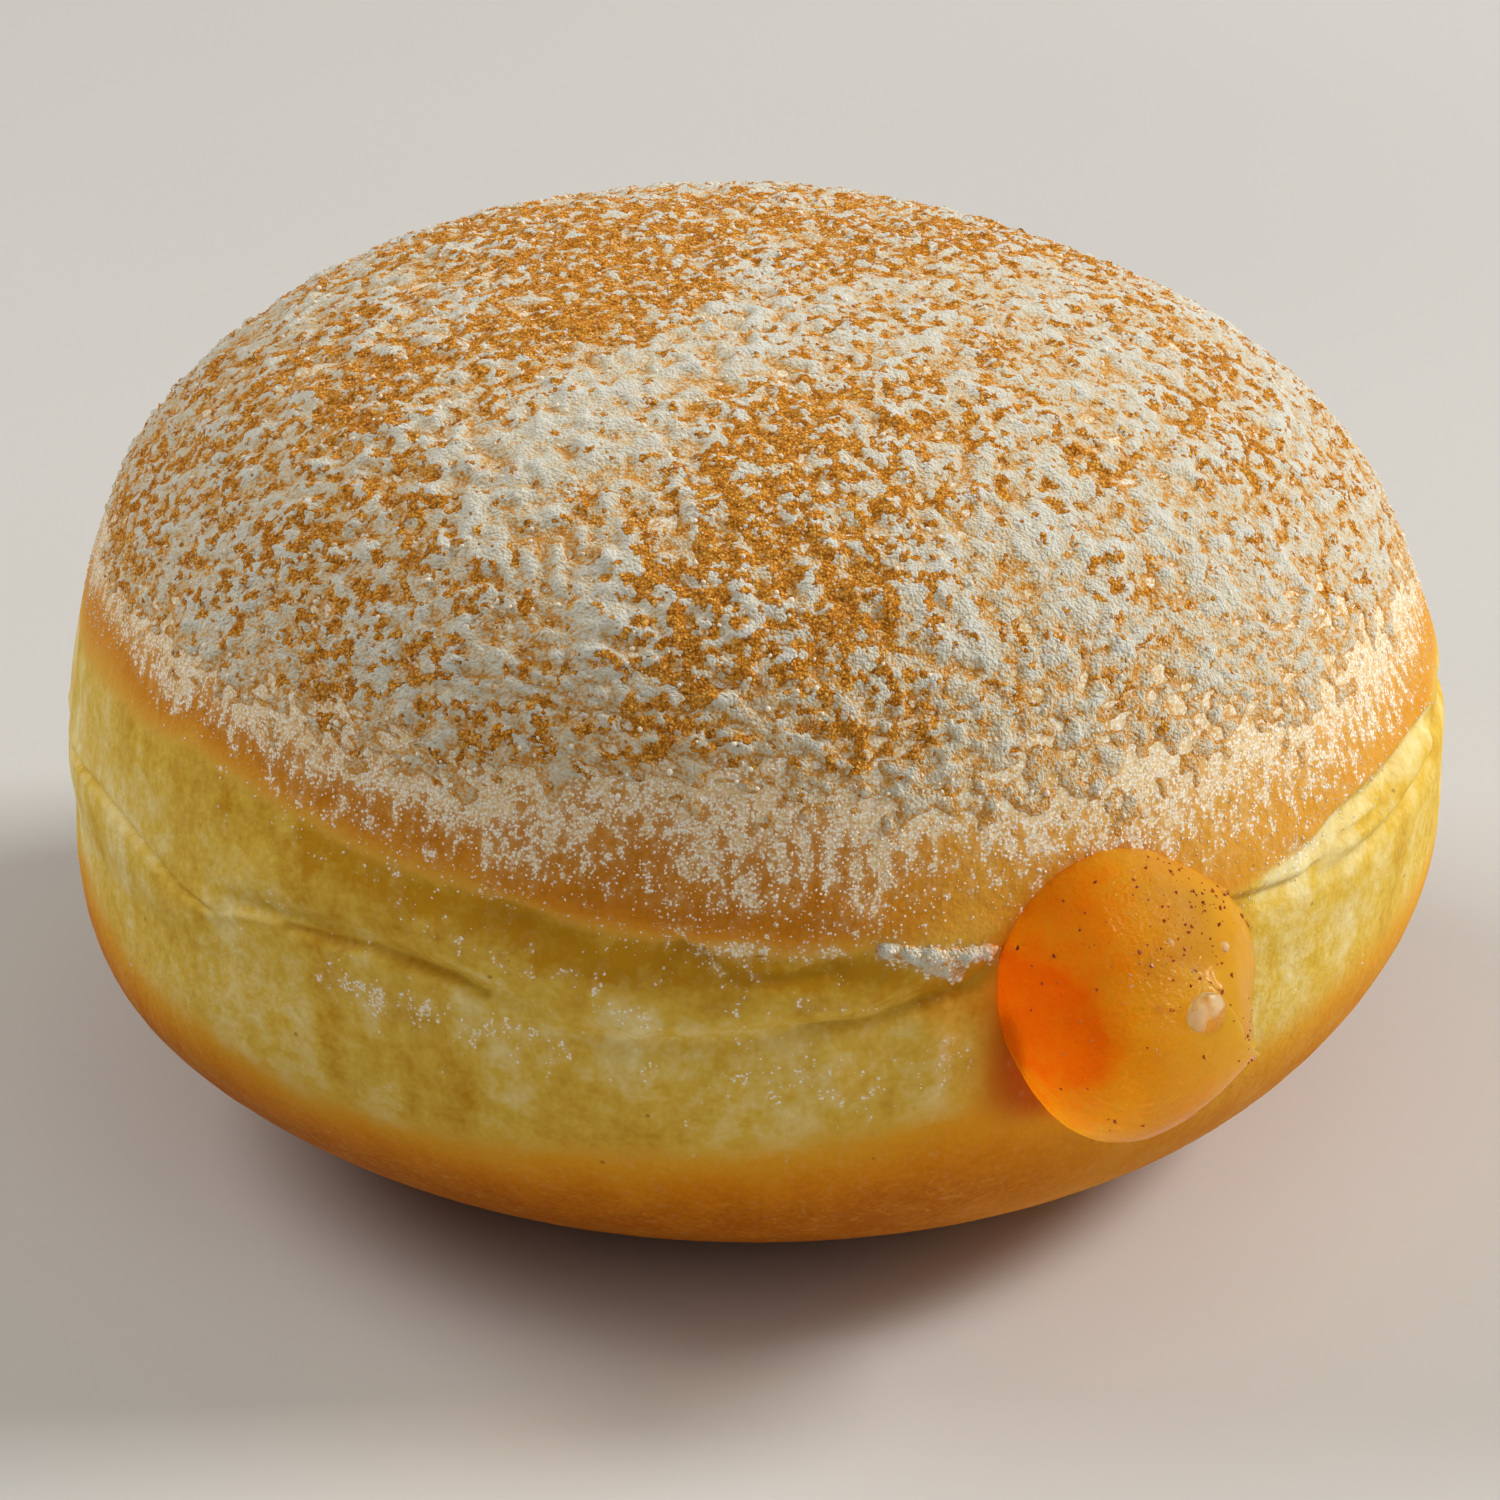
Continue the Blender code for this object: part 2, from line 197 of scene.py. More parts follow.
# How pale the unbrowned skin is round the bun
PALENESS = ((-180, 0.6), (-100, 0.7), (-60, 0.65), (-35, 0.45), (-10, 0.45), (15, 0.55), (25, 0.35), (45, 0.5),
            (60, 0.45), (80, 0.45), (120, 0.6))


def smooth_step(value):
    """0 to 1 with a level start and end."""
    t = np.clip(value, 0.0, 1.0)
    return t * t * (3.0 - 2.0 * t)


def turned_by(azimuth, other):
    """Degrees from one azimuth to the other, between -180 and 180."""
    return (azimuth - other + 180.0) % 360.0 - 180.0


def round_bun(table, azimuth):
    """The value that a table of (azimuth, value) pairs round the bun has at each azimuth."""
    places, values = zip(*table)
    return np.interp(azimuth, places, values, period=360.0)


def soft_noise(points, size, seed):
    """A smooth random field of about -1 to 1, whose lumps have this size."""
    q = points / size + np.array([seed * 17.37, seed * 5.91, seed * 11.73])
    cell = np.floor(q).astype(np.int64)
    part = q - cell
    part = part * part * (3.0 - 2.0 * part)
    total = np.zeros(len(points))
    for corner in range(8):
        step = np.array([corner & 1, corner >> 1 & 1, corner >> 2])
        key = cell + step
        mixed = key[:, 0] * 73856093 ^ key[:, 1] * 19349663 ^ key[:, 2] * 83492791
        mixed = (mixed ^ mixed >> 13) * 1274126177 & 0x7FFFFFFF
        mixed = (mixed ^ mixed >> 15) * 668265263 & 0x7FFFFFFF
        weight = np.where(step == 1, part, 1.0 - part).prod(axis=1)
        total += weight * ((mixed >> 8 & 0xFFFF) / 32767.5 - 1.0)
    return total


def rough_noise(points, size, seed, octaves=3, fall=0.5):
    """Soft noise with finer and finer lumps on it."""
    turn = np.array([[0.80, 0.36, -0.48], [-0.60, 0.48, -0.64], [0.0, 0.80, 0.60]])
    total, weight, whole = np.zeros(len(points)), 1.0, 0.0
    for octave in range(octaves):
        total += weight * soft_noise(points, size, seed + octave * 7)
        whole += weight
        points = points @ turn.T
        size, weight = size * 0.5, weight * fall
    return total / whole


def by_line(azimuth, height, places, reach):
    """1 on a line of places on the bun's side, falling to 0 away from it."""
    middle = (places[0][0] + places[-1][0]) / 2.0
    along = RADIUS * math.pi / 180.0
    off = turned_by(azimuth, middle) * along
    nearest = np.full(np.shape(off), 1.0e6)
    for (a0, h0), (a1, h1) in zip(places, places[1:]):
        x0, dx, dz = (a0 - middle) * along, (a1 - a0) * along, h1 - h0
        share = np.clip(((off - x0) * dx + (height - h0) * dz) / (dx * dx + dz * dz), 0.0, 1.0)
        nearest = np.minimum(nearest, (off - x0 - share * dx) ** 2 + (height - h0 - share * dz) ** 2)
    return np.exp(-nearest / reach**2)


def by_lines(azimuth, height, lines):
    """What a whole set of lines adds up to at each place."""
    return sum(amount * by_line(azimuth, height, places, reach) for places, reach, amount in lines)


def crease_relief(azimuth, height):
    """How far the side stands out (+) or is drawn in (-) round each crease."""
    relief = np.zeros_like(height)
    for crease in CREASES:
        middle = (crease.start + crease.end) / 2.0
        half_span = (crease.end - crease.start) / 2.0
        off = turned_by(azimuth, middle)
        t = off / half_span
        line = (
            crease.by_height
            + t * (crease.to_height - crease.from_height) / 2.0
            + t * t * ((crease.from_height + crease.to_height) / 2.0 - crease.by_height)
        )
        strength = smooth_step((half_span - np.abs(off)) / CREASE_FADE)
        over = height - line
        groove = -crease.depth * np.exp(-((over / crease.half_width) ** 2))
        above = crease.lip_above * np.exp(-(((over - LIP_OFFSET) / LIP_REACH) ** 2))
        below = crease.lip_below * np.exp(-(((over + LIP_OFFSET) / LIP_REACH) ** 2))
        relief += strength * (groove + above + below)
    return relief


def bun_points(azimuth, latitude, fine=True):
    """Points of the bun's skin, with the fine unevenness of the dough where it is asked for."""
    a = np.radians(azimuth)
    s = np.radians(latitude)
    half_height = np.where(latitude > 0, HEIGHT - WIDEST_HEIGHT, WIDEST_HEIGHT + FLATTENED)
    z = WIDEST_HEIGHT + half_height * np.sign(s) * np.abs(np.sin(s)) ** (2.0 / FULLNESS)
    share_up = 0.5 + 0.5 * np.sin(s)
    out_of_round = (
        share_up * UPPER_TRIPLE * np.cos(3 * (a - math.radians(UPPER_TRIPLE_AT)))
        + (1 - share_up) * LOWER_OVAL * np.cos(2 * (a - math.radians(LOWER_OVAL_AT)))
        + (1 - share_up) * LOWER_TRIPLE * np.cos(3 * (a - math.radians(LOWER_TRIPLE_AT)))
    )
    level = np.abs(np.cos(s)) ** (2.0 / FULLNESS)
    r = RADIUS * level * (1 + out_of_round)
    for swelling in SWELLINGS:
        round_off = turned_by(azimuth, swelling.azimuth) / swelling.reach_round
        up_off = (latitude - swelling.latitude) / swelling.reach_up
        r = r + level * swelling.height * np.exp(-(round_off**2 + up_off**2) / 2.0)
    r = r + crease_relief(azimuth, z)
    if fine:
        r = r + dough_unevenness(azimuth, z)
    across, forward = r * np.sin(a) / DIMPLE_SIZE, r * np.cos(a) / DIMPLE_SIZE
    dimple = np.sin(across) * np.sin(forward + z / DIMPLE_TWIST)
    z = z + DIMPLE_DEPTH * dimple * np.clip(np.sin(s), 0.0, 1.0)
    risen = np.clip((z - WIDEST_HEIGHT) / (HEIGHT - WIDEST_HEIGHT), 0.0, None)
    x = r * np.sin(a) + LEAN_X * risen
    y = -DEPTH_RATIO * r * np.cos(a) + LEAN_Y * risen
    return np.stack([x, y, np.maximum(z, 0.0)], axis=-1) - CENTRE


def dough_unevenness(azimuth, height):
    """Soft vertical folds and small lumps of the pale band, and the fine blisters of the crust below it."""
    a = np.radians(azimuth)
    ring = np.stack([RADIUS * np.sin(a), RADIUS * np.cos(a), height], axis=-1)
    upright = ring * np.array([1.0, 1.0, 0.22])
    in_band = np.exp(-(((height - 22.0) / 6.5) ** 2))
    folds = 0.16 * in_band * rough_noise(upright, 4.2, 3, octaves=2)
    lumps = 0.10 * np.exp(-(((height - 25.0) / 9.0) ** 2)) * rough_noise(ring, 5.5, 5, octaves=3)
    blisters = 0.03 * smooth_step((20.0 - height) / 6.0) * soft_noise(ring, 0.9, 9)
    return folds + lumps + blisters + by_lines(azimuth, height, FOLDS)


def latitude_at(height):
    """The latitude whose skin has this height."""
    half_height = HEIGHT - WIDEST_HEIGHT if height > WIDEST_HEIGHT else WIDEST_HEIGHT + FLATTENED
    share = (height - WIDEST_HEIGHT) / half_height
    return math.degrees(math.asin(math.copysign(abs(share) ** (FULLNESS / 2.0), share)))


def hole_frame():
    """The mouth of the filling hole, and the directions along the skin, up, and out of the bun."""
    latitude = latitude_at(HOLE_HEIGHT)
    mouth = bun_points(np.array([HOLE_AZIMUTH]), np.array([latitude]), fine=False)[0]
    turn = math.radians(HOLE_AZIMUTH)
    out = np.array([math.sin(turn), -math.cos(turn), 0.0])
    along = np.array([math.cos(turn), math.sin(turn), 0.0])
    return mouth, np.stack([along, [0.0, 0.0, 1.0], out])


MOUTH, HOLE_AXES = hole_frame()


def by_the_hole(along, up, out):
    """A place given from the middle of the hole's mouth."""
    return MOUTH + np.array([along, up, out]) @ HOLE_AXES


def in_scene(name, data):
    """An object with this data, in the scene."""
    thing = bpy.data.objects.new(name, data)
    bpy.context.scene.collection.objects.link(thing)
    return thing


def new_piece(name, points, faces, made, marks=None):
    """A smooth mesh object in metres, with its marks as attributes of its points."""
    mesh = bpy.data.meshes.new(name)
    mesh.from_pydata((points * MM).tolist(), [], faces)
    for mark, values in (marks or {}).items():
        mesh.attributes.new(mark, "FLOAT", "POINT").data.foreach_set("value", np.asarray(values, np.float32))
    mesh.shade_smooth()
    mesh.materials.append(made)
    return in_scene(name, mesh)


def ring_faces(rows, columns):
    """Faces of a closed form made of rings, whose first and last points are its poles."""
    faces = []
    for row in range(rows - 1):
        first, second = 1 + row * columns, 1 + (row + 1) * columns
        faces += [
            (first + c, first + (c + 1) % columns, second + (c + 1) % columns, second + c) for c in range(columns)
        ]
    top = 1 + (rows - 1) * columns
    faces += [(0, 1 + (c + 1) % columns, 1 + c) for c in range(columns)]
    faces += [(top + columns, top + c, top + (c + 1) % columns) for c in range(columns)]
    return faces


# Materials

MATH, NOISE, RANGE, MIX = "ShaderNodeMath", "ShaderNodeTexNoise", "ShaderNodeMapRange", "ShaderNodeMix"
RAMP, MARK, BUMP, CELLS = "ShaderNodeValToRGB", "ShaderNodeAttribute", "ShaderNodeBump", "ShaderNodeTexVoronoi"
SHADER, OUTPUT, SPLIT = "ShaderNodeBsdfPrincipled", "ShaderNodeOutputMaterial", "ShaderNodeSeparateColor"
PLUS, MINUS, TIMES = {"operation": "ADD"}, {"operation": "SUBTRACT"}, {"operation": "MULTIPLY"}
TIMES_PLUS, LARGER = {"operation": "MULTIPLY_ADD"}, {"operation": "MAXIMUM"}
EASED, OF_COLOURS = {"interpolation_type": "SMOOTHSTEP"}, {"data_type": "RGBA"}
# A range's inputs in order: value, where it starts and ends, and what it becomes there, which is 0 to 1 if unsaid
# The inputs of a mix for colours, by number, as its other inputs have the same names
MIX_COLOURS = {"A": 6, "B": 7}
# The output that is meant where only the node is named, other than its first
GIVES = {MIX: 2, MARK: "Fac", "ShaderNodeTexCoord": "Object"}
# Powder grains are drawn as cells of 0.2 mm, since real ones are too fine to show
CELLS_PER_METRE = 4700.0


def linear(hex_colour):
    """Linear colour of an sRGB hex value."""
    parts = [int(hex_colour[i : i + 2], 16) / 255.0 for i in (1, 3, 5)]
    return (*[p / 12.92 if p <= 0.04045 else ((p + 0.055) / 1.055) ** 2.4 for p in parts], 1.0)


def new_material(name):
    """A material, what adds a node to its empty tree, and the node that gives the place on the object."""
    made = bpy.data.materials.new(name)
    made.use_nodes = True
    made.node_tree.nodes.clear()
    node = partial(add, made.node_tree)
    return made, node, node("ShaderNodeTexCoord")


def add(tree, kind, settings=None, *first_inputs, stops=(), **inputs):
    """A node with its settings, its ramp's colours by place, and a value, an sRGB hex colour or a link for each input
    given, in order or by name."""
    node = tree.nodes.new(kind)
    for setting, value in (settings or {}).items():
        setattr(node, setting, value)
    if stops:
        elements = node.color_ramp.elements
        while len(elements) < len(stops):
            elements.new(0.5)
        for element, (place, colour) in zip(elements, stops):
            element.position = place
            element.color = linear(colour)
    named = {MIX_COLOURS.get(name, name.replace("_", " ")): value for name, value in inputs.items()}
    for key, value in [*enumerate(first_inputs), *named.items()]:
        if isinstance(value, str):
            value = linear(value)
        if isinstance(value, bpy.types.Node):
            value = value.outputs[GIVES.get(value.bl_idname, 0)]
        if isinstance(value, bpy.types.NodeSocket):
            tree.links.new(value, node.inputs[key])
        else:
            node.inputs[key].default_value = value
    return node


def spice_mask(node, place, drift):
    """Cinnamon lies in clumps of 0.4 to 1 mm that run together where more of it fell."""
    clumps = node(NOISE, Vector=place, Scale=1120.0, Detail=2.0, Roughness=0.5)
    level = node(MATH, TIMES_PLUS, drift, 0.30, clumps)
    return node(RANGE, EASED, level, 0.580, 0.612)


def fried_dough():
    """Yeast dough fried floating: a pale soft band where the fat did not reach, and browned crust over and under
    it. The eye gets a waxy yellow that turns golden, then toffee brown, over a few millimetres."""
    made, node, place = new_material("fried yeast dough")
    names = "cap_browning", "base_browning", "paleness", "stain", "dust"
    cap, base, pale_and_shade, stain, dust = [node(MARK, {"attribute_name": name}) for name in names]
    # Browning is patchy at about 3 mm, and fine-grained at about 0.4 mm
    patches = node(MATH, MINUS, node(NOISE, Vector=place, Scale=330.0, Detail=2.0), 0.5)
    speckle = node(MATH, MINUS, node(NOISE, Vector=place, Scale=2400.0, Detail=2.0), 0.5)
    uneven = node(MATH, TIMES, node(MATH, PLUS, patches, speckle), 0.6)
    # The pale band is cloudy at about 1.5 mm
    cloudy = node(NOISE, Vector=place, Scale=700.0, Detail=2.0, Roughness=0.6)
    cloudy = node(MATH, MINUS, cloudy, 0.5)
    pale_and_shade = node(MATH, TIMES_PLUS, speckle, 0.4, pale_and_shade)
    pale_and_shade = node(MATH, TIMES_PLUS, cloudy, 0.95, pale_and_shade)
    # The paleness mark holds the skin's own paleness and also painted shade under the cap and in the folds, with a
    # little painted light on the ridges
    skin = node(RAMP, stops=((0.0, "#c68f16"), (0.5, "#e0ba49"), (1.0, "#efdc9c")), Fac=pale_and_shade)
    cap_level = node(MATH, TIMES_PLUS, uneven, cap, cap)
    base_level = node(MATH, TIMES_PLUS, uneven, base, base)
    cap_colours = (0.0, "#dfb248"), (0.35, "#e0a236"), (0.65, "#d88e22"), (1.0, "#c47812")
    base_colours = (0.0, "#e4b74c"), (0.30, "#e3a022"), (0.6, "#d88508"), (1.0, "#b86402")
    is_base = node(MATH, MINUS, base, cap)
    is_base = node(RANGE, EASED, is_base, -0.05, 0.05)
    browned = node(
        MIX, OF_COLOURS, is_base, A=node(RAMP, stops=cap_colours, Fac=cap_level),
        B=node(RAMP, stops=base_colours, Fac=base_level)
    )
    browning = node(MATH, LARGER, cap_level, base_level)
    browning = node(RANGE, EASED, browning, 0.02, 0.30)
    colour = node(MIX, OF_COLOURS, browning, A=skin, B=browned)
    # Flecks of bran and scorched flour, about 0.2 mm wide and 5 mm apart
    fleck = node(CELLS, Vector=place, Scale=260.0)
    fleck = node(RANGE, EASED, fleck, 0.030, 0.05, 0.5, 0.0)
    colour = node(MIX, OF_COLOURS, fleck, A=colour, B="#6b3d12")
    # Pale blisters in the crust of the base, under 0.5 mm
    blister = node(NOISE, Vector=place, Scale=1500.0, Detail=1.0)
    blister = node(RANGE, EASED, blister, 0.62, 0.72, 0.0, 0.35)
    blister = node(MATH, TIMES, blister, base)
    colour = node(MIX, OF_COLOURS, blister, A=colour, B="#dba444")
    # Jelly soaked into the dough round the hole, and under the jelly's lower left a patch that is partly stain and
    # partly painted shadow, darker where it is strongest
    soaked = node(RAMP, stops=((0.2, "#dc981e"), (1.0, "#b86008")), Fac=stain)
    stain_and_shadow_share = node(RANGE, EASED, stain, 0.0, 0.7)
    colour = node(MIX, OF_COLOURS, stain_and_shadow_share, A=colour, B=soaked)
    # Sugar too fine for grains of its own: specks of 0.16 mm and curds of 0.6 mm drawn out down the slope,
    # closer where more of it fell
    grains = node(CELLS, Vector=place, Scale=6200.0)
    lot = node(SPLIT, Color=grains.outputs["Color"])
    drawn = node("ShaderNodeVectorMath", TIMES, grains.outputs["Position"], (1.0, 1.0, 0.55))
    curds = node(NOISE, Vector=drawn, Scale=1300.0, Detail=2.0, Roughness=0.7)
    more = node(MATH, TIMES_PLUS, dust, 0.30, -0.835)
    more = node(MATH, PLUS, node(MATH, TIMES_PLUS, lot, 0.17, curds), more)
    specks = node(RANGE, EASED, more, -0.02, 0.02)
    # Each speck is thinner at its rim, no two are alike, and the last ones fade out
    for value, low, high, to_low, to_high in ((grains, 0.45, 0.7, 1.0, 0.3), (dust, 0.0, 0.12, 0.0, 1.0),
                                              (lot, 0.0, 0.8, 0.6, 1.0)):
        share = node(RANGE, EASED, value, low, high, to_low, to_high)
        specks = node(MATH, TIMES, specks, share)
    tufts = node(MATH, TIMES_PLUS, curds, 2.2, -1.1)
    tufts = node(MATH, PLUS, tufts, dust)
    film = node(RANGE, EASED, tufts, 0.1, 1.5, 0.0, 0.62)
    colour = node(MIX, OF_COLOURS, film, A=colour, B="#edcf98")
    powder = node(RAMP, stops=((0.2, "#f3dcae"), (0.9, "#fbf4e6")), Fac=lot)
    colour = node(MIX, OF_COLOURS, specks, A=colour, B=powder)
    pores = node(NOISE, Vector=place, Scale=1300.0, Detail=2.0, Roughness=0.6)
    wet = node(RANGE, EASED, stain, 0.2, 0.9, 0.0, 0.3)
    dull = node(RANGE, EASED, patches, -0.3, 0.3, 0.55, 0.72)
    shader = node(
        SHADER, Base_Color=colour, Roughness=node(MATH, MINUS, dull, wet), IOR=1.42, Specular_IOR_Level=0.13,
        Subsurface_Weight=0.2, Subsurface_Scale=0.0014, Subsurface_Radius=(1.0, 0.5, 0.15),
        Normal=node(BUMP, Strength=0.75, Distance=0.00018, Height=pores)
    )
    node(OUTPUT, Surface=shader)
    return made


def icing_sugar():
    """Icing sugar sifted on and caked by the fat into small curds, with ground cinnamon over it. The eye gets a
    matte chalky white that goes tan where it is thin and rusty where the cinnamon fell."""
    made, node, place = new_material("sifted icing sugar")
    # Clumps of the powder show at about 0.2 mm, and thinner patches at 0.8 mm
    powder = node(NOISE, Vector=place, Scale=4200.0, Detail=2.0, Roughness=0.72)
    blotch = node(NOISE, Vector=place, Scale=1300.0, Detail=2.0)
    cover = node(MATH, TIMES_PLUS, powder, 2.3, -1.15)
    cover = node(MATH, PLUS, cover, node(MARK, {"attribute_name": "thickness"}))
    cover = node(MATH, PLUS, cover, node(MATH, TIMES_PLUS, blotch, 1.2, -0.6))
    whites = (0.0, "#d69644"), (0.14, "#dbaa68"), (0.30, "#dcc196"), (0.58, "#dacfb6"), (1.0, "#dfdbcc")
    # Each cell is wholly sugar or wholly cinnamon, with painted shade darkening the gaps between those of cinnamon
    grains = node(CELLS, Vector=place, Scale=CELLS_PER_METRE)
    spice = spice_mask(node, grains.outputs["Position"], node(MARK, {"attribute_name": "drift"}))
    lot = node(SPLIT, Color=grains.outputs["Color"])
    browns = (0.0, "#b36e14"), (0.35, "#dd8c20"), (0.7, "#f2a636"), (1.0, "#fcc262")
    painted_gap_shade = node(RANGE, EASED, grains, 0.30, 0.62, 1.0, 0.58)
    tint = node(RAMP, stops=browns, Fac=lot)
    tint = node(MIX, {"data_type": "RGBA", "blend_type": "MULTIPLY"}, 1.0, A=tint, B=painted_gap_shade)
    colour = node(MIX, OF_COLOURS, spice, A=node(RAMP, stops=whites, Fac=cover), B=tint)
    clumps = node(NOISE, Vector=place, Scale=1500.0, Detail=2.0)
    clumps = node(MATH, TIMES_PLUS, powder, 0.7, clumps)
    clumps = node(MATH, TIMES_PLUS, grains, -0.4, clumps)
    shader = node(
        SHADER, Base_Color=colour, Roughness=0.94, IOR=1.45, Specular_IOR_Level=0.2,
        Normal=node(BUMP, Strength=0.9, Distance=0.00026, Height=clumps)
    )
    node(OUTPUT, Surface=shader)
    return made


def apricot_jelly():
    """Set apricot jelly, slightly cloudy with fruit pulp: light spreads inside it, so it glows straw yellow where
    it is thin and strong orange where it is full of fruit, under a sharp wet sheen."""
    made, node, place = new_material("set apricot jelly")
    # Pulp clouds it at about 1.5 mm
    pulp = node(NOISE, Vector=place, Scale=700.0, Detail=3.0)
    level = node(MATH, TIMES_PLUS, pulp, 0.55, -0.275)
    level = node(MATH, PLUS, level, node(MARK, {"attribute_name": "fruit"}))
    ambers = (0.0, "#ffe460"), (0.35, "#ffd438"), (0.65, "#ffb01c"), (1.0, "#fe8806")
    colour = node(RAMP, stops=ambers, Fac=level)
    # The skin of the jelly ripples at about 1.3 mm, and at 0.4 mm where sugar sticks to it
    rough = node(MARK, {"attribute_name": "rough"})
    fine = node(MATH, TIMES, node(NOISE, Vector=place, Scale=2600.0, Detail=2.0), rough)
    ripple = node(NOISE, Vector=place, Scale=760.0, Detail=3.0)
    ripple = node(MATH, TIMES_PLUS, fine, 2.0, ripple)
    shader = node(
        SHADER, Base_Color=colour, Roughness=node(RANGE, EASED, rough, 0.0, 1.0, 0.05, 0.13), IOR=1.32,
        Specular_IOR_Level=0.25, Specular_Tint="#ffe0a8",
        Transmission_Weight=node(RANGE, EASED, level, 0.1, 0.9, 0.66, 0.1),
        Subsurface_Weight=1.0, Subsurface_Scale=0.004, Subsurface_Radius=(1.0, 0.6, 0.1),
        Normal=node(BUMP, Strength=0.7, Distance=0.0002, Height=ripple)
    )
    glow = node("ShaderNodeBsdfTranslucent", Color=colour)
    shader = node("ShaderNodeMixShader", None, 0.46, shader, glow)
    # Light that falls in from above reaches what lies in and behind the jelly, tinted amber
    passing = node("ShaderNodeBsdfTransparent", Color="#ffd06c")
    is_shadow = node("ShaderNodeLightPath").outputs["Is Shadow Ray"]
    share = node(MATH, TIMES, is_shadow, 0.85)
    share = node(MATH, TIMES, share, node(MARK, {"attribute_name": "lets_light_in"}))
    both = node("ShaderNodeMixShader", None, share, shader, passing)
    volume = node("ShaderNodeVolumeAbsorption", Color="#ffd878", Density=20.0)
    node(OUTPUT, Surface=both, Volume=volume)
    return made


def cooked_apricot():
    """A piece of cooked apricot held in the jelly: soft, fibrous, a strong orange that glows in the light."""
    made, node, place = new_material("cooked apricot")
    fibres = node(NOISE, Vector=place, Scale=420.0, Detail=3.0)
    shader = node(
        SHADER, Base_Color=node(RAMP, stops=((0.3, "#f58a14"), (0.7, "#fba82a")), Fac=fibres), Roughness=0.35,
        IOR=1.4, Subsurface_Weight=0.8, Subsurface_Scale=0.004, Subsurface_Radius=(1.0, 0.4, 0.1)
    )
    node(OUTPUT, Surface=shader)
    return made


def trapped_air():
    """Air bubbles in the skin of the jelly: a thin clear film over a hollow, that flashes white."""
    made, node, place = new_material("air trapped in jelly")
    haze = node(NOISE, Vector=place, Scale=700.0, Detail=1.0)
    shader = node(
        SHADER, Base_Color=node(RAMP, stops=((0.3, "#ffe2a0"), (0.7, "#fff2d0")), Fac=haze),
        Roughness=node(RANGE, EASED, haze, 0.3, 0.7, 0.06, 0.2), IOR=1.2,
        Transmission_Weight=node(RANGE, EASED, haze, 0.42, 0.60, 0.95, 0.6),
        Normal=node(BUMP, Strength=0.6, Distance=0.0002, Height=haze)
    )
    node(OUTPUT, Surface=shader)
    return made


def uneven_stuff(name, patches, detail, colours, roughness, ior=1.5):
    """A matte stuff whose colour is uneven, with this many patches to the metre."""
    made, node, place = new_material(name)
    colour = node(RAMP, stops=colours, Fac=node(NOISE, Vector=place, Scale=patches, Detail=detail))
    node(OUTPUT, Surface=node(SHADER, Base_Color=colour, Roughness=roughness, IOR=ior))
    return made


# The dough


def sugar_depth(points, azimuth, height):
    """0 where the last dust of sugar ends and 1 where the coat closes, on an edge that wanders and streaks."""
    streaks = points * np.array([1.0, 1.0, 0.35])
    wander = 1.5 * rough_noise(points, 9.0, 21, octaves=3) + 1.3 * rough_noise(streaks, 1.7, 25, octaves=2)
    high, low = round_bun(COAT_EDGE, azimuth), round_bun(DUST_EDGE, azimuth)
    return np.clip((height + wander - low) / (high - low), -1.0, 2.5)


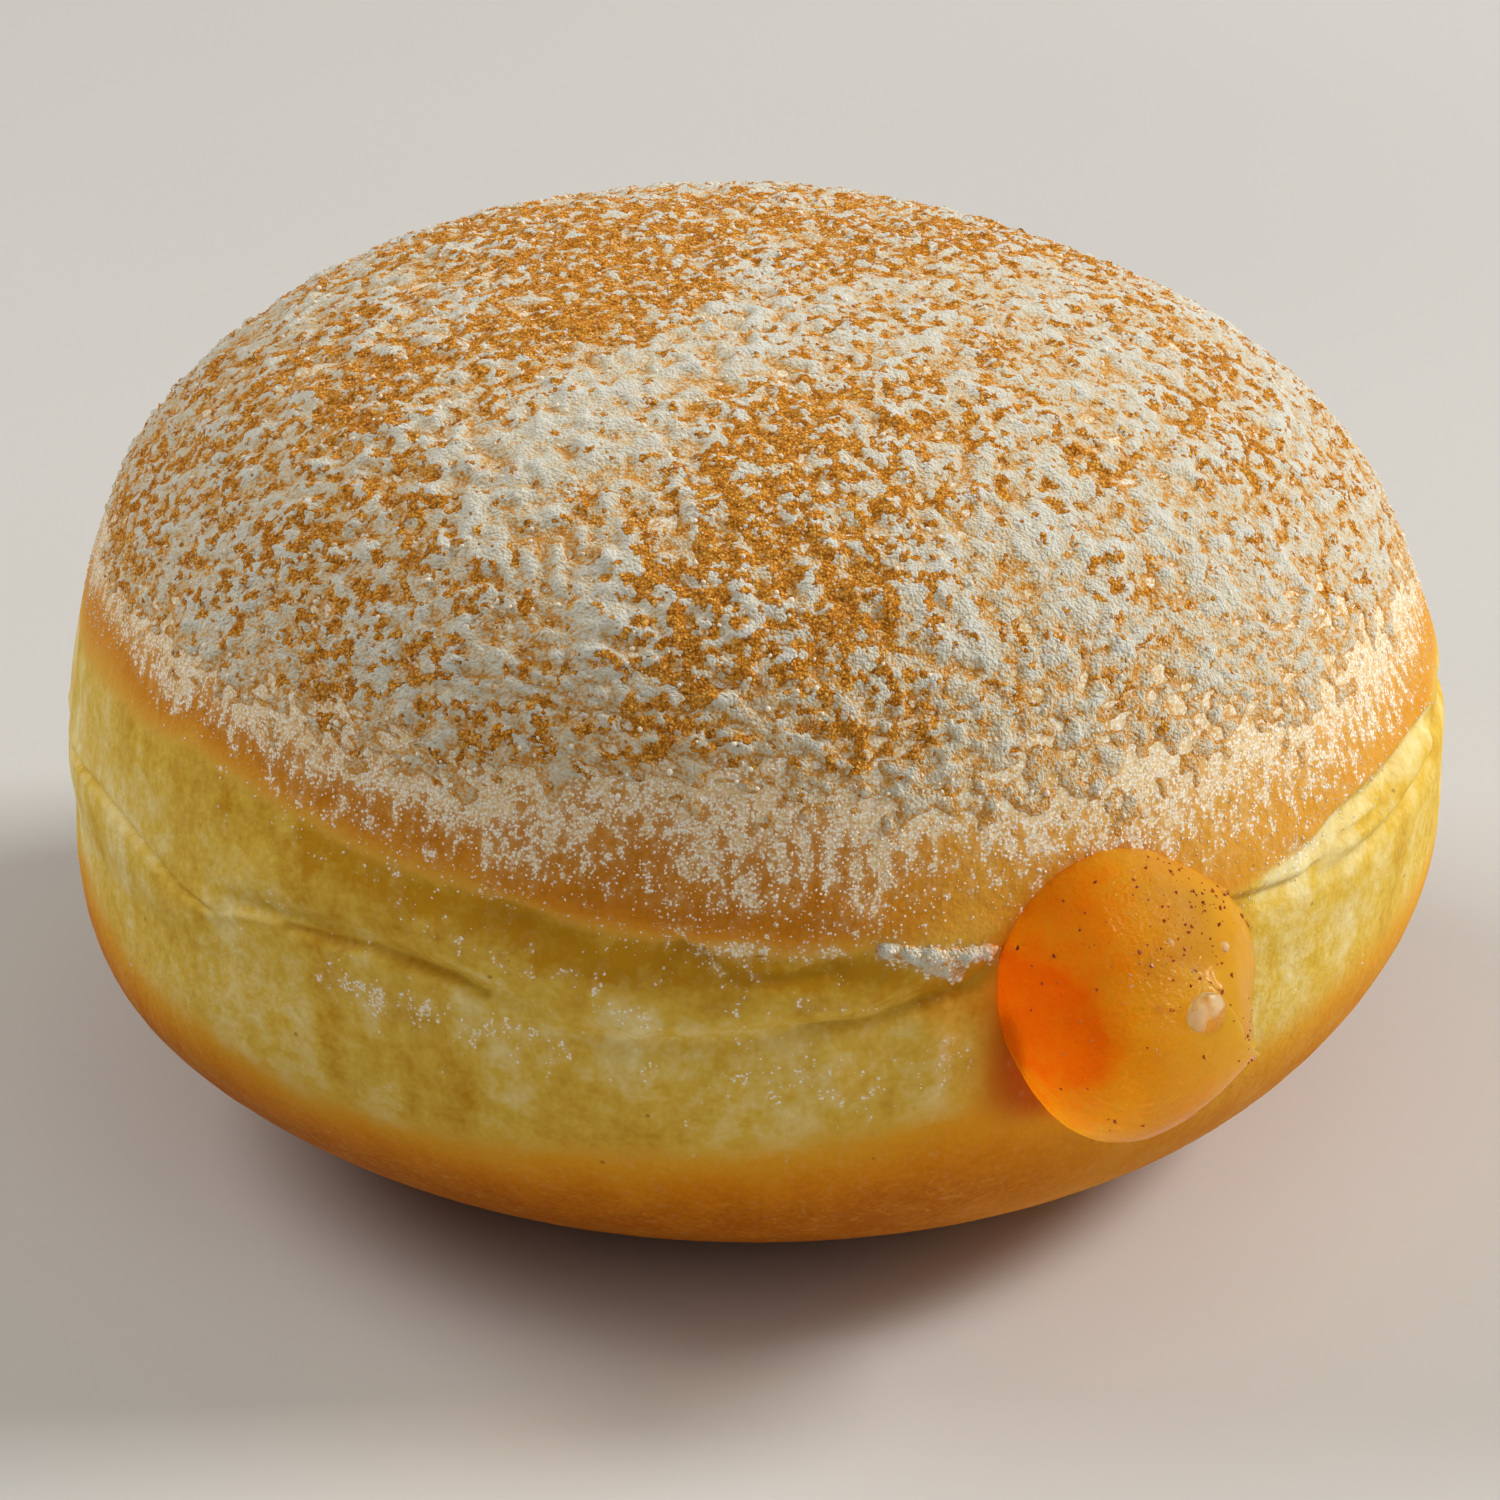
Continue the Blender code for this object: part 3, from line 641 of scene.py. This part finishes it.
def make_bun(made):
    """The bun's whole skin, with its rings close together across the creased band."""
    columns = 480
    spans = ((0.0, 10.0, 22), (10.0, 20.0, 34), (20.0, 33.5, 84), (33.5, 42.0, 26))
    latitudes = list(np.linspace(-90.0, latitude_at(0.0), 6)[1:-1])
    for low, high, count in spans:
        latitudes += [latitude_at(h) for h in np.linspace(low, high, count, endpoint=False)]
    latitudes += list(np.linspace(latitude_at(42.0), 90.0, 34)[:-1])
    rows = len(latitudes)
    azimuth = np.tile(np.arange(columns) * 360.0 / columns - 180.0, rows)
    latitude = np.repeat(latitudes, columns)
    azimuth = np.concatenate([[0.0], azimuth, [0.0]])
    latitude = np.concatenate([[-90.0], latitude, [90.0]])
    points = bun_points(azimuth, latitude)
    points[0, 2] = 0.0
    height = points[:, 2]
    pit_off = np.linalg.norm((points - MOUTH) @ HOLE_AXES.T * np.array([1.0, 1.0, 0.4]), axis=1)
    front_of_mouth = (points - MOUTH) @ HOLE_AXES[2] > -9.0
    pit = MOUTH_PIT * smooth_step((HOLE_RADIUS - pit_off) / 2.2) * front_of_mouth
    points = points - pit[:, None] * HOLE_AXES[2]
    wander = 1.1 * rough_noise(points, 7.0, 31, octaves=3)
    fade = round_bun(CAP_FADE, azimuth)
    cap = smooth_step((height + wander * fade / 5.0 - round_bun(CAP_EDGE, azimuth)) / fade + 0.3)
    cap = cap * round_bun(CAP_STRENGTH, azimuth)
    base = smooth_step((round_bun(BASE_EDGE, azimuth) + wander - height) / 11.0 + 0.28)
    base = base * round_bun(BASE_STRENGTH, azimuth)
    depth = sugar_depth(points, azimuth, height)
    patches = by_lines(azimuth, height, DUST_LINES)
    upright = points * np.array([1.0, 1.0, 0.25])
    # A breath of sugar on the band, in upright streaks and patches
    streaks = rough_noise(upright, 2.2, 33) + 0.8 * rough_noise(points, 5.0, 39)
    breath = 0.45 * np.clip(streaks - 0.1, 0.0, 0.8) * smooth_step((height - 13.0) / 5.0)
    breath = breath * round_bun(BREATH_STRENGTH, azimuth)
    dust = np.clip(1.05 * depth + 0.08, 0.0, 1.2) + 0.8 * patches + breath
    crumbs_here = np.interp(depth, (-0.4, 0.0, 0.5, 1.0, 1.6), (0.0, 0.25, 0.8, 0.7, 0.1))
    crumbs_here = crumbs_here * np.interp(streaks, (-0.5, 0.5), (0.5, 1.3)) + 0.25 * patches**2 + 0.04 * breath
    pale_and_shade = round_bun(PALENESS, azimuth) + 0.45 * rough_noise(upright, 2.6, 35) + 0.2 * rough_noise(points, 8.0, 37)
    # Painted shade in the drawn-in folds, and a little painted light on the raised ones, following the folds' relief
    painted_fold_shading = 0.5 * np.minimum(by_lines(azimuth, height, FOLDS), 0.15)
    pale_and_shade = pale_and_shade + painted_fold_shading + 0.5 * by_line(azimuth, height, PALE_STRIP, 1.1)
    # Painted shade under the overhanging cap: the band is made less pale over the 6 mm below the cap's edge, most at
    # the edge
    under_cap_shade_mask = smooth_step((height - round_bun(CAP_EDGE, azimuth) + 6.0) / 6.0)
    cap_shade_strength = round_bun(PAINTED_SHADE_UNDER_CAP, azimuth)
    pale_and_shade = pale_and_shade - under_cap_shade_mask * cap_shade_strength
    off = (points - MOUTH) @ HOLE_AXES.T / np.array([1.0, 1.05, 1.0])
    # Under the jelly's lower left, where it overhangs the dough: partly jelly stain, partly painted shadow
    shadow_and_stain_below_jelly = np.exp(-(((off[:, 0] + 6.5) / 3.0) ** 2 + ((off[:, 1] + 6.0) / 3.0) ** 2)) * front_of_mouth
    soaked = smooth_step((11.0 - np.linalg.norm(off, axis=1)) / 4.0) * smooth_step((6.0 - off[:, 0]) / 5.0)
    stain = 0.75 * soaked + 0.8 * shadow_and_stain_below_jelly
    stain = stain * (1.0 - 0.9 * smooth_step((HOLE_RADIUS + 1.0 - pit_off) / 2.0))
    marks = {
        "cap_browning": cap,
        "base_browning": base,
        "dust": dust,
        "paleness": np.clip(pale_and_shade, 0.0, 1.0),
        "crumbs": crumbs_here,
        "stain": np.clip(stain, 0.0, 1.0),
    }
    return new_piece("dough_crust", points, ring_faces(rows, columns), made, marks)


# The sugar coat


def cinnamon_drift(points):
    """How much cinnamon fell at each point: 0 to 1, in drifts of some centimetres and patches of 3 mm."""
    level = np.full(len(points), 0.12)
    for x, y, reach, amount in DRIFTS:
        level += amount * np.exp(-((points[:, 0] - x) ** 2 + (points[:, 1] - y) ** 2) / reach**2)
    level += 0.40 * rough_noise(points, 3.2, 41, octaves=2) + 0.15 * rough_noise(points, 11.0, 47)
    return np.clip(level, -0.2, 0.5) - 0.6 * smooth_step((43.5 - points[:, 2]) / 8.0)


def make_coat(made):
    """The sugar as a skin of its own, that rises out of the crust where there is sugar and stays under it where
    there is none. A square net is rounded over the dome, so that its meshes are alike all over."""
    count = COAT_MESHES
    lowest = latitude_at(COAT_LOWEST)
    side = np.linspace(-1.0, 1.0, count + 1)
    u, v = [grid.ravel() for grid in np.meshgrid(side, side)]
    wide = np.abs(u) > np.abs(v)
    reach = np.where(wide, np.abs(u), np.abs(v))
    safe = np.where(reach == 0, 1.0, reach)
    ratio = np.where(wide, v, u) / safe * math.pi / 4
    angle = np.where(wide, np.where(u > 0, 0.0, math.pi) + ratio * np.sign(u), 0.0)
    angle = np.where(wide, angle, np.where(v > 0, math.pi / 2, -math.pi / 2) - ratio * np.sign(v))
    azimuth = np.degrees(angle)
    # Rings even along the skin, from the top down
    table_latitude = np.linspace(90.0, lowest, 400)
    profile = bun_points(np.zeros(400), table_latitude, fine=False)
    length = np.concatenate([[0.0], np.cumsum(np.linalg.norm(np.diff(profile, axis=0), axis=1))])
    latitude = np.interp(reach, length / length[-1], table_latitude)
    points = bun_points(azimuth, latitude)
    step = 0.05
    round_way = bun_points(azimuth + step, latitude) - bun_points(azimuth - step, latitude)
    up_way = bun_points(azimuth, np.minimum(latitude + step, 90.0)) - bun_points(azimuth, latitude - step)
    normal = np.cross(round_way, up_way)
    size = np.linalg.norm(normal, axis=1, keepdims=True)
    normal = np.where(size > 1e-9, normal / np.maximum(size, 1e-9), np.array([0.0, 0.0, 1.0]))
    height = points[:, 2]
    depth = sugar_depth(points, azimuth, height)
    patches = by_lines(azimuth, height, DUST_LINES)
    # Curds of 0.6 to 2 mm, drawn out down the slope on the dome's side
    steep = smooth_step((50.0 - height) / 14.0)[:, None]
    drawn = points * np.concatenate([np.ones((len(points), 2)), 1.0 - 0.3 * steep], axis=1)
    curds = rough_noise(drawn, 1.35, 51, octaves=2, fall=0.8)
    fine = rough_noise(drawn, 0.7, 57, octaves=1)
    mounds = rough_noise(points, 5.0, 61, octaves=2)
    relief = 0.30 * curds + 0.28 * fine + 0.14 * mounds
    base = np.interp(depth, (0.0, 0.3, 0.5, 0.75, 1.0, 1.3, 2.0), (-0.8, -0.50, -0.34, -0.16, 0.02, 0.18, 0.27))
    thickness = relief + base - 0.07 * steep[:, 0]
    pile = 0.7 * np.clip(patches - 0.6, 0.0, 0.7) + 0.3 * curds + 0.35 * fine
    thickness = np.where(patches > 0.62, np.maximum(thickness, pile), thickness)
    drift = cinnamon_drift(points)
    thickness = np.clip(thickness, -0.30 - 0.7 * smooth_step((33.0 - height) / 2.0), COAT_THICKEST)
    thickness = np.where(reach >= 1.0 - 1e-9, -1.2, thickness)
    raised = points + normal * thickness[:, None]
    index = np.arange((count + 1) ** 2).reshape(count + 1, count + 1)
    quads = np.stack([index[:-1, :-1], index[:-1, 1:], index[1:, 1:], index[1:, :-1]], axis=-1).reshape(-1, 4)
    rim = np.concatenate([index[0, :-1], index[:-1, -1], index[-1, :0:-1], index[:0:-1, 0]])
    faces = quads.tolist() + [rim[::-1].tolist()]
    marks = {
        "thickness": np.clip(thickness / 0.5, -0.5, 1.2),
        "drift": drift,
        "curds": np.interp(depth, (0.2, 0.5, 1.0, 1.6), (0.0, 0.8, 0.5, 0.12)) + 1.5 * (patches > 0.62),
    }
    return new_piece("sugar_coat", raised, faces, made, marks)


# Grains


def crumb(name, corners, faces, made):
    """One small crumb, its size 1 mm before it is scaled."""
    mesh = bpy.data.meshes.new(name)
    mesh.from_pydata([tuple(c * MM for c in corner) for corner in corners], [], faces)
    mesh.materials.append(made)
    return bpy.data.objects.new(name, mesh)


SUGAR_CORNERS = (
    (0.55, 0.05, 0), (-0.5, -0.1, 0.08), (0.05, 0.5, -0.06), (-0.08, -0.46, 0), (0.04, 0, 0.4), (0, 0.06, -0.4)
)
SUGAR_FACES = ((0, 2, 4), (2, 1, 4), (1, 3, 4), (3, 0, 4), (2, 0, 5), (1, 2, 5), (3, 1, 5), (0, 3, 5))
BARK_CORNERS = ((0.55, 0.0, 0.0), (-0.30, 0.46, 0.05), (-0.26, -0.42, 0.0), (0.05, 0.04, 0.34), (-0.04, 0.0, -0.30))
BARK_FACES = ((0, 1, 3), (1, 2, 3), (2, 0, 3), (1, 0, 4), (2, 1, 4), (0, 2, 4))


def ball_of_facets():
    """Corners and faces of a lump of twenty facets."""
    bm = bmesh.new()
    bmesh.ops.create_icosphere(bm, subdivisions=1, radius=0.5)
    corners = [tuple(vert.co * Vector((1.0, 0.9, 0.7))) for vert in bm.verts]
    faces = [tuple(vert.index for vert in face.verts) for face in bm.faces]
    bm.free()
    return corners, faces


def grain_tree(name, of_spice):
    """Grains strewn on a surface, each turned and sized at random: by a mark of it, or where its clumps are."""
    tree = bpy.data.node_groups.new(name, "GeometryNodeTree")
    face = tree.interface
    face.new_socket("Surface", in_out="INPUT", socket_type="NodeSocketGeometry")
    face.new_socket("Strewn on", in_out="OUTPUT", socket_type="NodeSocketGeometry")
    node = partial(add, tree)
    kinds = {"Grain": "Object", "Grains per square metre": "Float", "Cover": "Float", "Smallest": "Float",
             "Largest": "Float", "Seed": "Int", "Finish": "Material"}
    inputs = {}
    for label, kind in kinds.items():
        inputs[label] = face.new_socket(label, in_out="INPUT", socket_type="NodeSocket" + kind).identifier
    start = node("NodeGroupInput").outputs
    density = start["Grains per square metre"]
    if not of_spice:
        density = node(MATH, TIMES, density, start["Cover"])
    strewn = node("GeometryNodeDistributePointsOnFaces", Mesh=start["Surface"], Density=density, Seed=start["Seed"])
    grain = node("GeometryNodeObjectInfo", Object=start["Grain"])
    turn = node("FunctionNodeRandomValue", {"data_type": "FLOAT_VECTOR"}, Max=(math.tau,) * 3, Seed=start["Seed"])
    draw = node("FunctionNodeRandomValue", {"data_type": "FLOAT"}, Seed=start["Seed"])
    # Most grains are small
    small = node(MATH, {"operation": "POWER"}, draw.outputs[1], 2.0)
    size = node(RANGE, Value=small, To_Min=start["Smallest"], To_Max=start["Largest"])
    placed = node(
        "GeometryNodeInstanceOnPoints", Points=strewn.outputs["Points"], Instance=grain.outputs["Geometry"],
        Rotation=turn, Scale=size
    )
    if of_spice:
        spice = spice_mask(node, node("GeometryNodeInputPosition"), start["Cover"])
        mask = node(MATH, {"operation": "GREATER_THAN"}, spice, 0.5)
        tree.links.new(mask.outputs[0], placed.inputs["Selection"])
    real = node("GeometryNodeRealizeInstances", Geometry=placed)
    finished = node("GeometryNodeSetMaterial", Geometry=real, Material=start["Finish"])
    node("NodeGroupOutput", None, finished)
    return tree, inputs


def grain_piece(name, carrier, tree, inputs, cover, grain, per_mm2, smallest, largest, seed, made):
    """All grains of one kind, strewn on their carrier, as one piece."""
    modifier = carrier.modifiers.new("grains", "NODES")
    modifier.node_group = tree
    modifier[inputs["Cover"] + "_use_attribute"] = True
    modifier[inputs["Cover"] + "_attribute_name"] = cover
    labels = "Grain", "Grains per square metre", "Smallest", "Largest", "Seed", "Finish"
    for label, value in zip(labels, (grain, per_mm2 / MM**2, smallest, largest, seed, made)):
        modifier[inputs[label]] = value
    carrier.update_tag()
    graph = bpy.context.evaluated_depsgraph_get()
    graph.update()
    bm = bmesh.new()
    bm.from_mesh(bpy.data.meshes.new_from_object(carrier.evaluated_get(graph)))
    carrier.modifiers.remove(modifier)
    mesh = bpy.data.meshes.new(name)
    bm.to_mesh(mesh)
    bm.free()
    mesh.materials.append(made)
    return in_scene(name, mesh)


# The jelly


def lobe_reach(lobe, ways):
    """How far each way from the lump's middle leads before it leaves the lobe."""
    centre = np.array([lobe.along, lobe.up, lobe.out])
    radii = np.array([lobe.radius_along, lobe.radius_up, lobe.radius_out])
    w = ways / radii
    c = centre / radii
    a = (w * w).sum(axis=1)
    b = (w * c).sum(axis=1)
    rest = b * b - a * ((c * c).sum() - 1.0)
    return np.where(rest > 0, (b + np.sqrt(np.abs(rest))) / a, 0.0).clip(0.0)


def sphere_ways(rows, columns):
    """Ways from a middle to rings of points, with the two poles first and last."""
    turns = np.linspace(-90.0, 90.0, rows + 2)[1:-1]
    up = np.repeat(np.radians(turns), columns)
    around = np.tile(np.arange(columns) * math.tau / columns, rows)
    ways = np.stack([np.cos(up) * np.cos(around), np.cos(up) * np.sin(around), np.sin(up)], axis=-1)
    return np.concatenate([[[0.0, 0.0, -1.0]], ways, [[0.0, 0.0, 1.0]]])


def over_the_fold(along, up):
    """How far below (+) or above (-) the fold a place is, and how far down the fold it lies, 0 to 1."""
    nearest, side, share_down = np.full(np.shape(along), 1.0e6), np.zeros_like(along), np.zeros_like(along)
    for number, ((x0, z0), (x1, z1)) in enumerate(zip(JELLY_FOLD, JELLY_FOLD[1:])):
        dx, dz = x1 - x0, z1 - z0
        share = np.clip(((along - x0) * dx + (up - z0) * dz) / (dx * dx + dz * dz), 0.0, 1.0)
        off = np.hypot(along - x0 - share * dx, up - z0 - share * dz)
        closer = off < nearest
        nearest = np.where(closer, off, nearest)
        side = np.where(closer, np.sign(dz * (along - x0) - dx * (up - z0)), side)
        share_down = np.where(closer, (number + share) / (len(JELLY_FOLD) - 1), share_down)
    return nearest * side, share_down


def lump_reach(ways):
    """The lobes run together. On the right, the lower one laps over the upper one in a fold."""
    reaches = np.stack([lobe_reach(lobe, ways) for lobe in LOBES + (LOW_FILL,)])
    blended = (reaches**LOBE_BLEND).sum(axis=0) ** (1.0 / LOBE_BLEND)
    over, down = over_the_fold(ways[:, 0] * blended, ways[:, 1] * blended)
    strength = smooth_step(down * 3.0) * (ways[:, 2] > 0.0) * smooth_step(ways[:, 2] * 3.0)
    lap = LAP * smooth_step(over / 0.3 + 0.5) * np.exp(-np.abs(over) / 2.2)
    dip = DIP * smooth_step(-over / 0.3 + 0.5) * np.exp(-np.abs(over) / 1.2)
    off_tip = np.arccos(np.clip(ways @ TIP / np.linalg.norm(TIP), -1.0, 1.0))
    return blended + strength * (lap - dip) + TIP_LENGTH * np.exp(-off_tip / TIP_SPREAD)


def make_jelly(made):
    """The lump of jelly outside the bun and the part of it that fills the hole."""
    rows, columns = 150, 220
    ways = sphere_ways(rows, columns)
    # Ways are along the skin, out and up; the lobes are given along, up, out
    local = np.stack([ways[:, 0], ways[:, 2], -ways[:, 1]], axis=-1)
    reach = lump_reach(local)
    place = local * reach[:, None]
    # Its skin is lumpy on the upper left, where sugar and small bubbles stick to it
    rough = smooth_step((3.5 - place[:, 0] + 0.4 * place[:, 1]) / 5.0)
    reach = reach + 0.06 * rough_noise(place, 3.2, 71, octaves=2) + 0.07 * rough * rough_noise(place, 0.9, 73)
    place = local * reach[:, None]
    points = MOUTH + place @ HOLE_AXES
    low = smooth_step((-place[:, 1] - 2.0) / 5.0)
    # The apricot shows through as a patch of stronger orange on the left
    patch = np.hypot((place[:, 0] + 7.6) / 3.0, (place[:, 1] - 0.2) / 4.0)
    fruit = 0.66 * smooth_step((0.0 - place[:, 0] + 0.35 * place[:, 1]) / 6.0) + 0.14 * low
    fruit = fruit + 0.4 * smooth_step((1.2 - patch) / 0.55)
    rim = smooth_step((place[:, 1] - 1.5) / 4.0) * smooth_step((place[:, 0] + 1.0) / 4.0)
    fold = np.exp(-((over_the_fold(place[:, 0], place[:, 1])[0] / 0.5) ** 2))
    specks = 0.06 + 0.8 * rim + 0.9 * fold + 0.25 * smooth_step((place[:, 1] - 0.5) / 3.0)
    marks = {
        "fruit": np.clip(fruit, 0.0, 1.0),
        "specks": specks * (place[:, 2] > 0.4),
        "rough": rough,
        "lets_light_in": smooth_step((place[:, 1] + 4.0) / 4.0),
    }
    return new_piece("jelly_lump", points, ring_faces(rows, columns), made, marks)


def make_bubbles(made):
    """Air bubbles in the skin of the jelly: a wide one in front, a few beads, and many fine ones."""
    draw = np.random.default_rng(12)
    places = [((0.9, 0.7, 8.0), 1.5), ((-1.9, 1.4, 7.4), 0.3), ((0.3, 4.6, 5.3), 0.34), ((4.7, 2.6, 4.2), 0.4)]
    for _ in range(FINE_BUBBLES):
        side = draw.normal((-3.4, 2.6, 5.0), (2.0, 2.0, 1.5))
        places.append((tuple(side), 0.04 + 0.06 * draw.random() ** 2))
    rows, columns = 10, 16
    ball = sphere_ways(rows, columns)
    ball_faces = ring_faces(rows, columns)
    points, faces = [], []
    for side, radius in places:
        way = np.array(side) / np.linalg.norm(side)
        reach = lump_reach(way[None])[0] + (0.08 if radius > 1 else 0.0)
        # The wide bubble is a flat lens
        flat = 0.42 if radius > 1 else 0.9
        turned = ball * radius
        turned = turned - np.outer(turned @ way, way) * (1.0 - flat)
        middle = way * (reach - radius * flat * 0.35)
        first = sum(len(block) for block in points)
        points.append(MOUTH + (middle + turned) @ HOLE_AXES)
        faces += [tuple(first + corner for corner in face) for face in ball_faces]
    return new_piece("air_bubbles", np.concatenate(points), faces, made)


def make_apricot(made):
    """The piece of apricot in the jelly, a rounded lump behind the orange patch."""
    rows, columns = 40, 56
    radii, unevenness = np.array([1.2, 2.4, 1.3]), 0.22
    ways = sphere_ways(rows, columns)
    reach = 1.0 + unevenness * rough_noise(ways * 2.0, 1.0, 81, octaves=2)
    points = by_the_hole(-4.4, -0.2, 1.4) + ways * reach[:, None] * radii @ HOLE_AXES
    return new_piece("apricot_piece", points, ring_faces(rows, columns), made)


# Putting the doughnut together

bun = make_bun(fried_dough())
coat = make_coat(icing_sugar())
lump = make_jelly(apricot_jelly())

# Crumbs of icing sugar lying apart on the crust: chalky, their white uneven at about 1 mm
crumbs = uneven_stuff("icing sugar crumbs", 900.0, 2.0, ((0.3, "#f3e3c2"), (0.7, "#faf2e0")), 0.9, 1.45)
# Ground bark: woody crumbs of 0.15 to 0.32 mm, from ochre to rusty brown
barks = (0.30, "#bb7220"), (0.45, "#dc922e"), (0.58, "#eeaa42"), (0.72, "#f6c46c")
cinnamon = uneven_stuff("ground cinnamon", 1700.0, 1.0, barks, 0.85)
# The same crumbs wetted by the jelly: a dull sheen, dark red-brown
wet_barks = (0.3, "#7c2408"), (0.7, "#b4501a")
wet_cinnamon = uneven_stuff("cinnamon wetted by jelly", 1700.0, 1.0, wet_barks, 0.4, 1.45)
sugar_crumb = crumb("sugar_crumb", SUGAR_CORNERS, SUGAR_FACES, crumbs)
bark_crumb = crumb("bark_crumb", BARK_CORNERS, BARK_FACES, cinnamon)
curd = crumb("curd", *ball_of_facets(), crumbs)
by_mark, mark_inputs = grain_tree("strewn_by_mark", False)
by_clump, clump_inputs = grain_tree("strewn_in_clumps", True)
# Carrier, tree and its inputs, mark that rules where they lie, grain, grains in a square millimetre where they lie
# closest, smallest and largest size in millimetres, seed
wet_grains = grain_piece(
    "wet_cinnamon_grains", lump, by_mark, mark_inputs, "specks", bark_crumb, 1.8, 0.11, 0.46, 3, wet_cinnamon
)
bubbles = make_bubbles(trapped_air())
sugar_grains = grain_piece("sugar_grains", bun, by_mark, mark_inputs, "crumbs", sugar_crumb, 8.0, 0.10, 0.27, 5, crumbs)
cinnamon_grains = grain_piece(
    "cinnamon_grains", coat, by_clump, clump_inputs, "drift", bark_crumb, 13.0, 0.15, 0.32, 8, cinnamon
)
sugar_curds = grain_piece("sugar_curds", coat, by_mark, mark_inputs, "curds", curd, 1.3, 0.18, 0.5, 11, crumbs)
sugar_curds.data.shade_smooth()
for helper in (sugar_crumb, bark_crumb, curd):
    bpy.data.objects.remove(helper)

chunk = make_apricot(cooked_apricot())

for piece in (bun, coat, sugar_curds, sugar_grains, cinnamon_grains, lump, wet_grains, chunk, bubbles):
    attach(piece, "root")
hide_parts("doughnut")
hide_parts("filling")

# Counter, light and camera

bpy.ops.mesh.primitive_plane_add(size=4.0, location=(0.0, 0.6, 0.0))
counter = bpy.context.object
counter.name = "counter"
# A plain counter, its pale grey barely uneven
greys = (0.3, "#cbc8c2"), (0.7, "#d2cfc9")
counter.data.materials.append(uneven_stuff("plain pale counter", 6.0, 2.0, greys, 0.7))


LIGHT_DISTANCE, LIGHT_AIM = 1.1, Vector((0.0, 0.0, 0.03))


def soft_light(name, power, size, azimuth, elevation):
    """A square white softbox that looks at the bun from this azimuth (0 is the front, 90 the right)."""
    light = bpy.data.lights.new(name, "AREA")
    light.energy = power
    light.size = size
    a, e = math.radians(azimuth), math.radians(elevation)
    place = Vector((math.sin(a) * math.cos(e), -math.cos(a) * math.cos(e), math.sin(e))) * LIGHT_DISTANCE
    holder = in_scene(name, light)
    holder.location = place + LIGHT_AIM
    holder.rotation_euler = (-place).to_track_quat("-Z", "Y").to_euler()


soft_light("window_right", 11.0, 0.32, 100.0, 34.0)
soft_light("window_left", 6.2, 0.6, -110.0, 40.0)
soft_light("fill_front", 3.0, 1.2, 18.0, 48.0)

scene = bpy.context.scene
world = bpy.data.worlds.new("room")
world.use_nodes = True
world.node_tree.nodes["Background"].inputs["Color"].default_value = linear("#d2ccc2")
world.node_tree.nodes["Background"].inputs["Strength"].default_value = 0.2
scene.world = world
scene.view_settings.view_transform = "Standard"

ELEVATION = math.radians(25.0)
DISTANCE = 0.42
AIM = Vector((-0.50, -0.61, 23.73)) * MM
camera = bpy.data.cameras.new("camera")
camera.lens = 152.9
camera.sensor_width = 36.0
camera.clip_start = 0.01
holder = in_scene("camera", camera)
back = Vector((0.0, -math.cos(ELEVATION), math.sin(ELEVATION)))
holder.location = AIM + back * DISTANCE
holder.rotation_euler = (-back).to_track_quat("-Z", "Y").to_euler()
scene.camera = holder
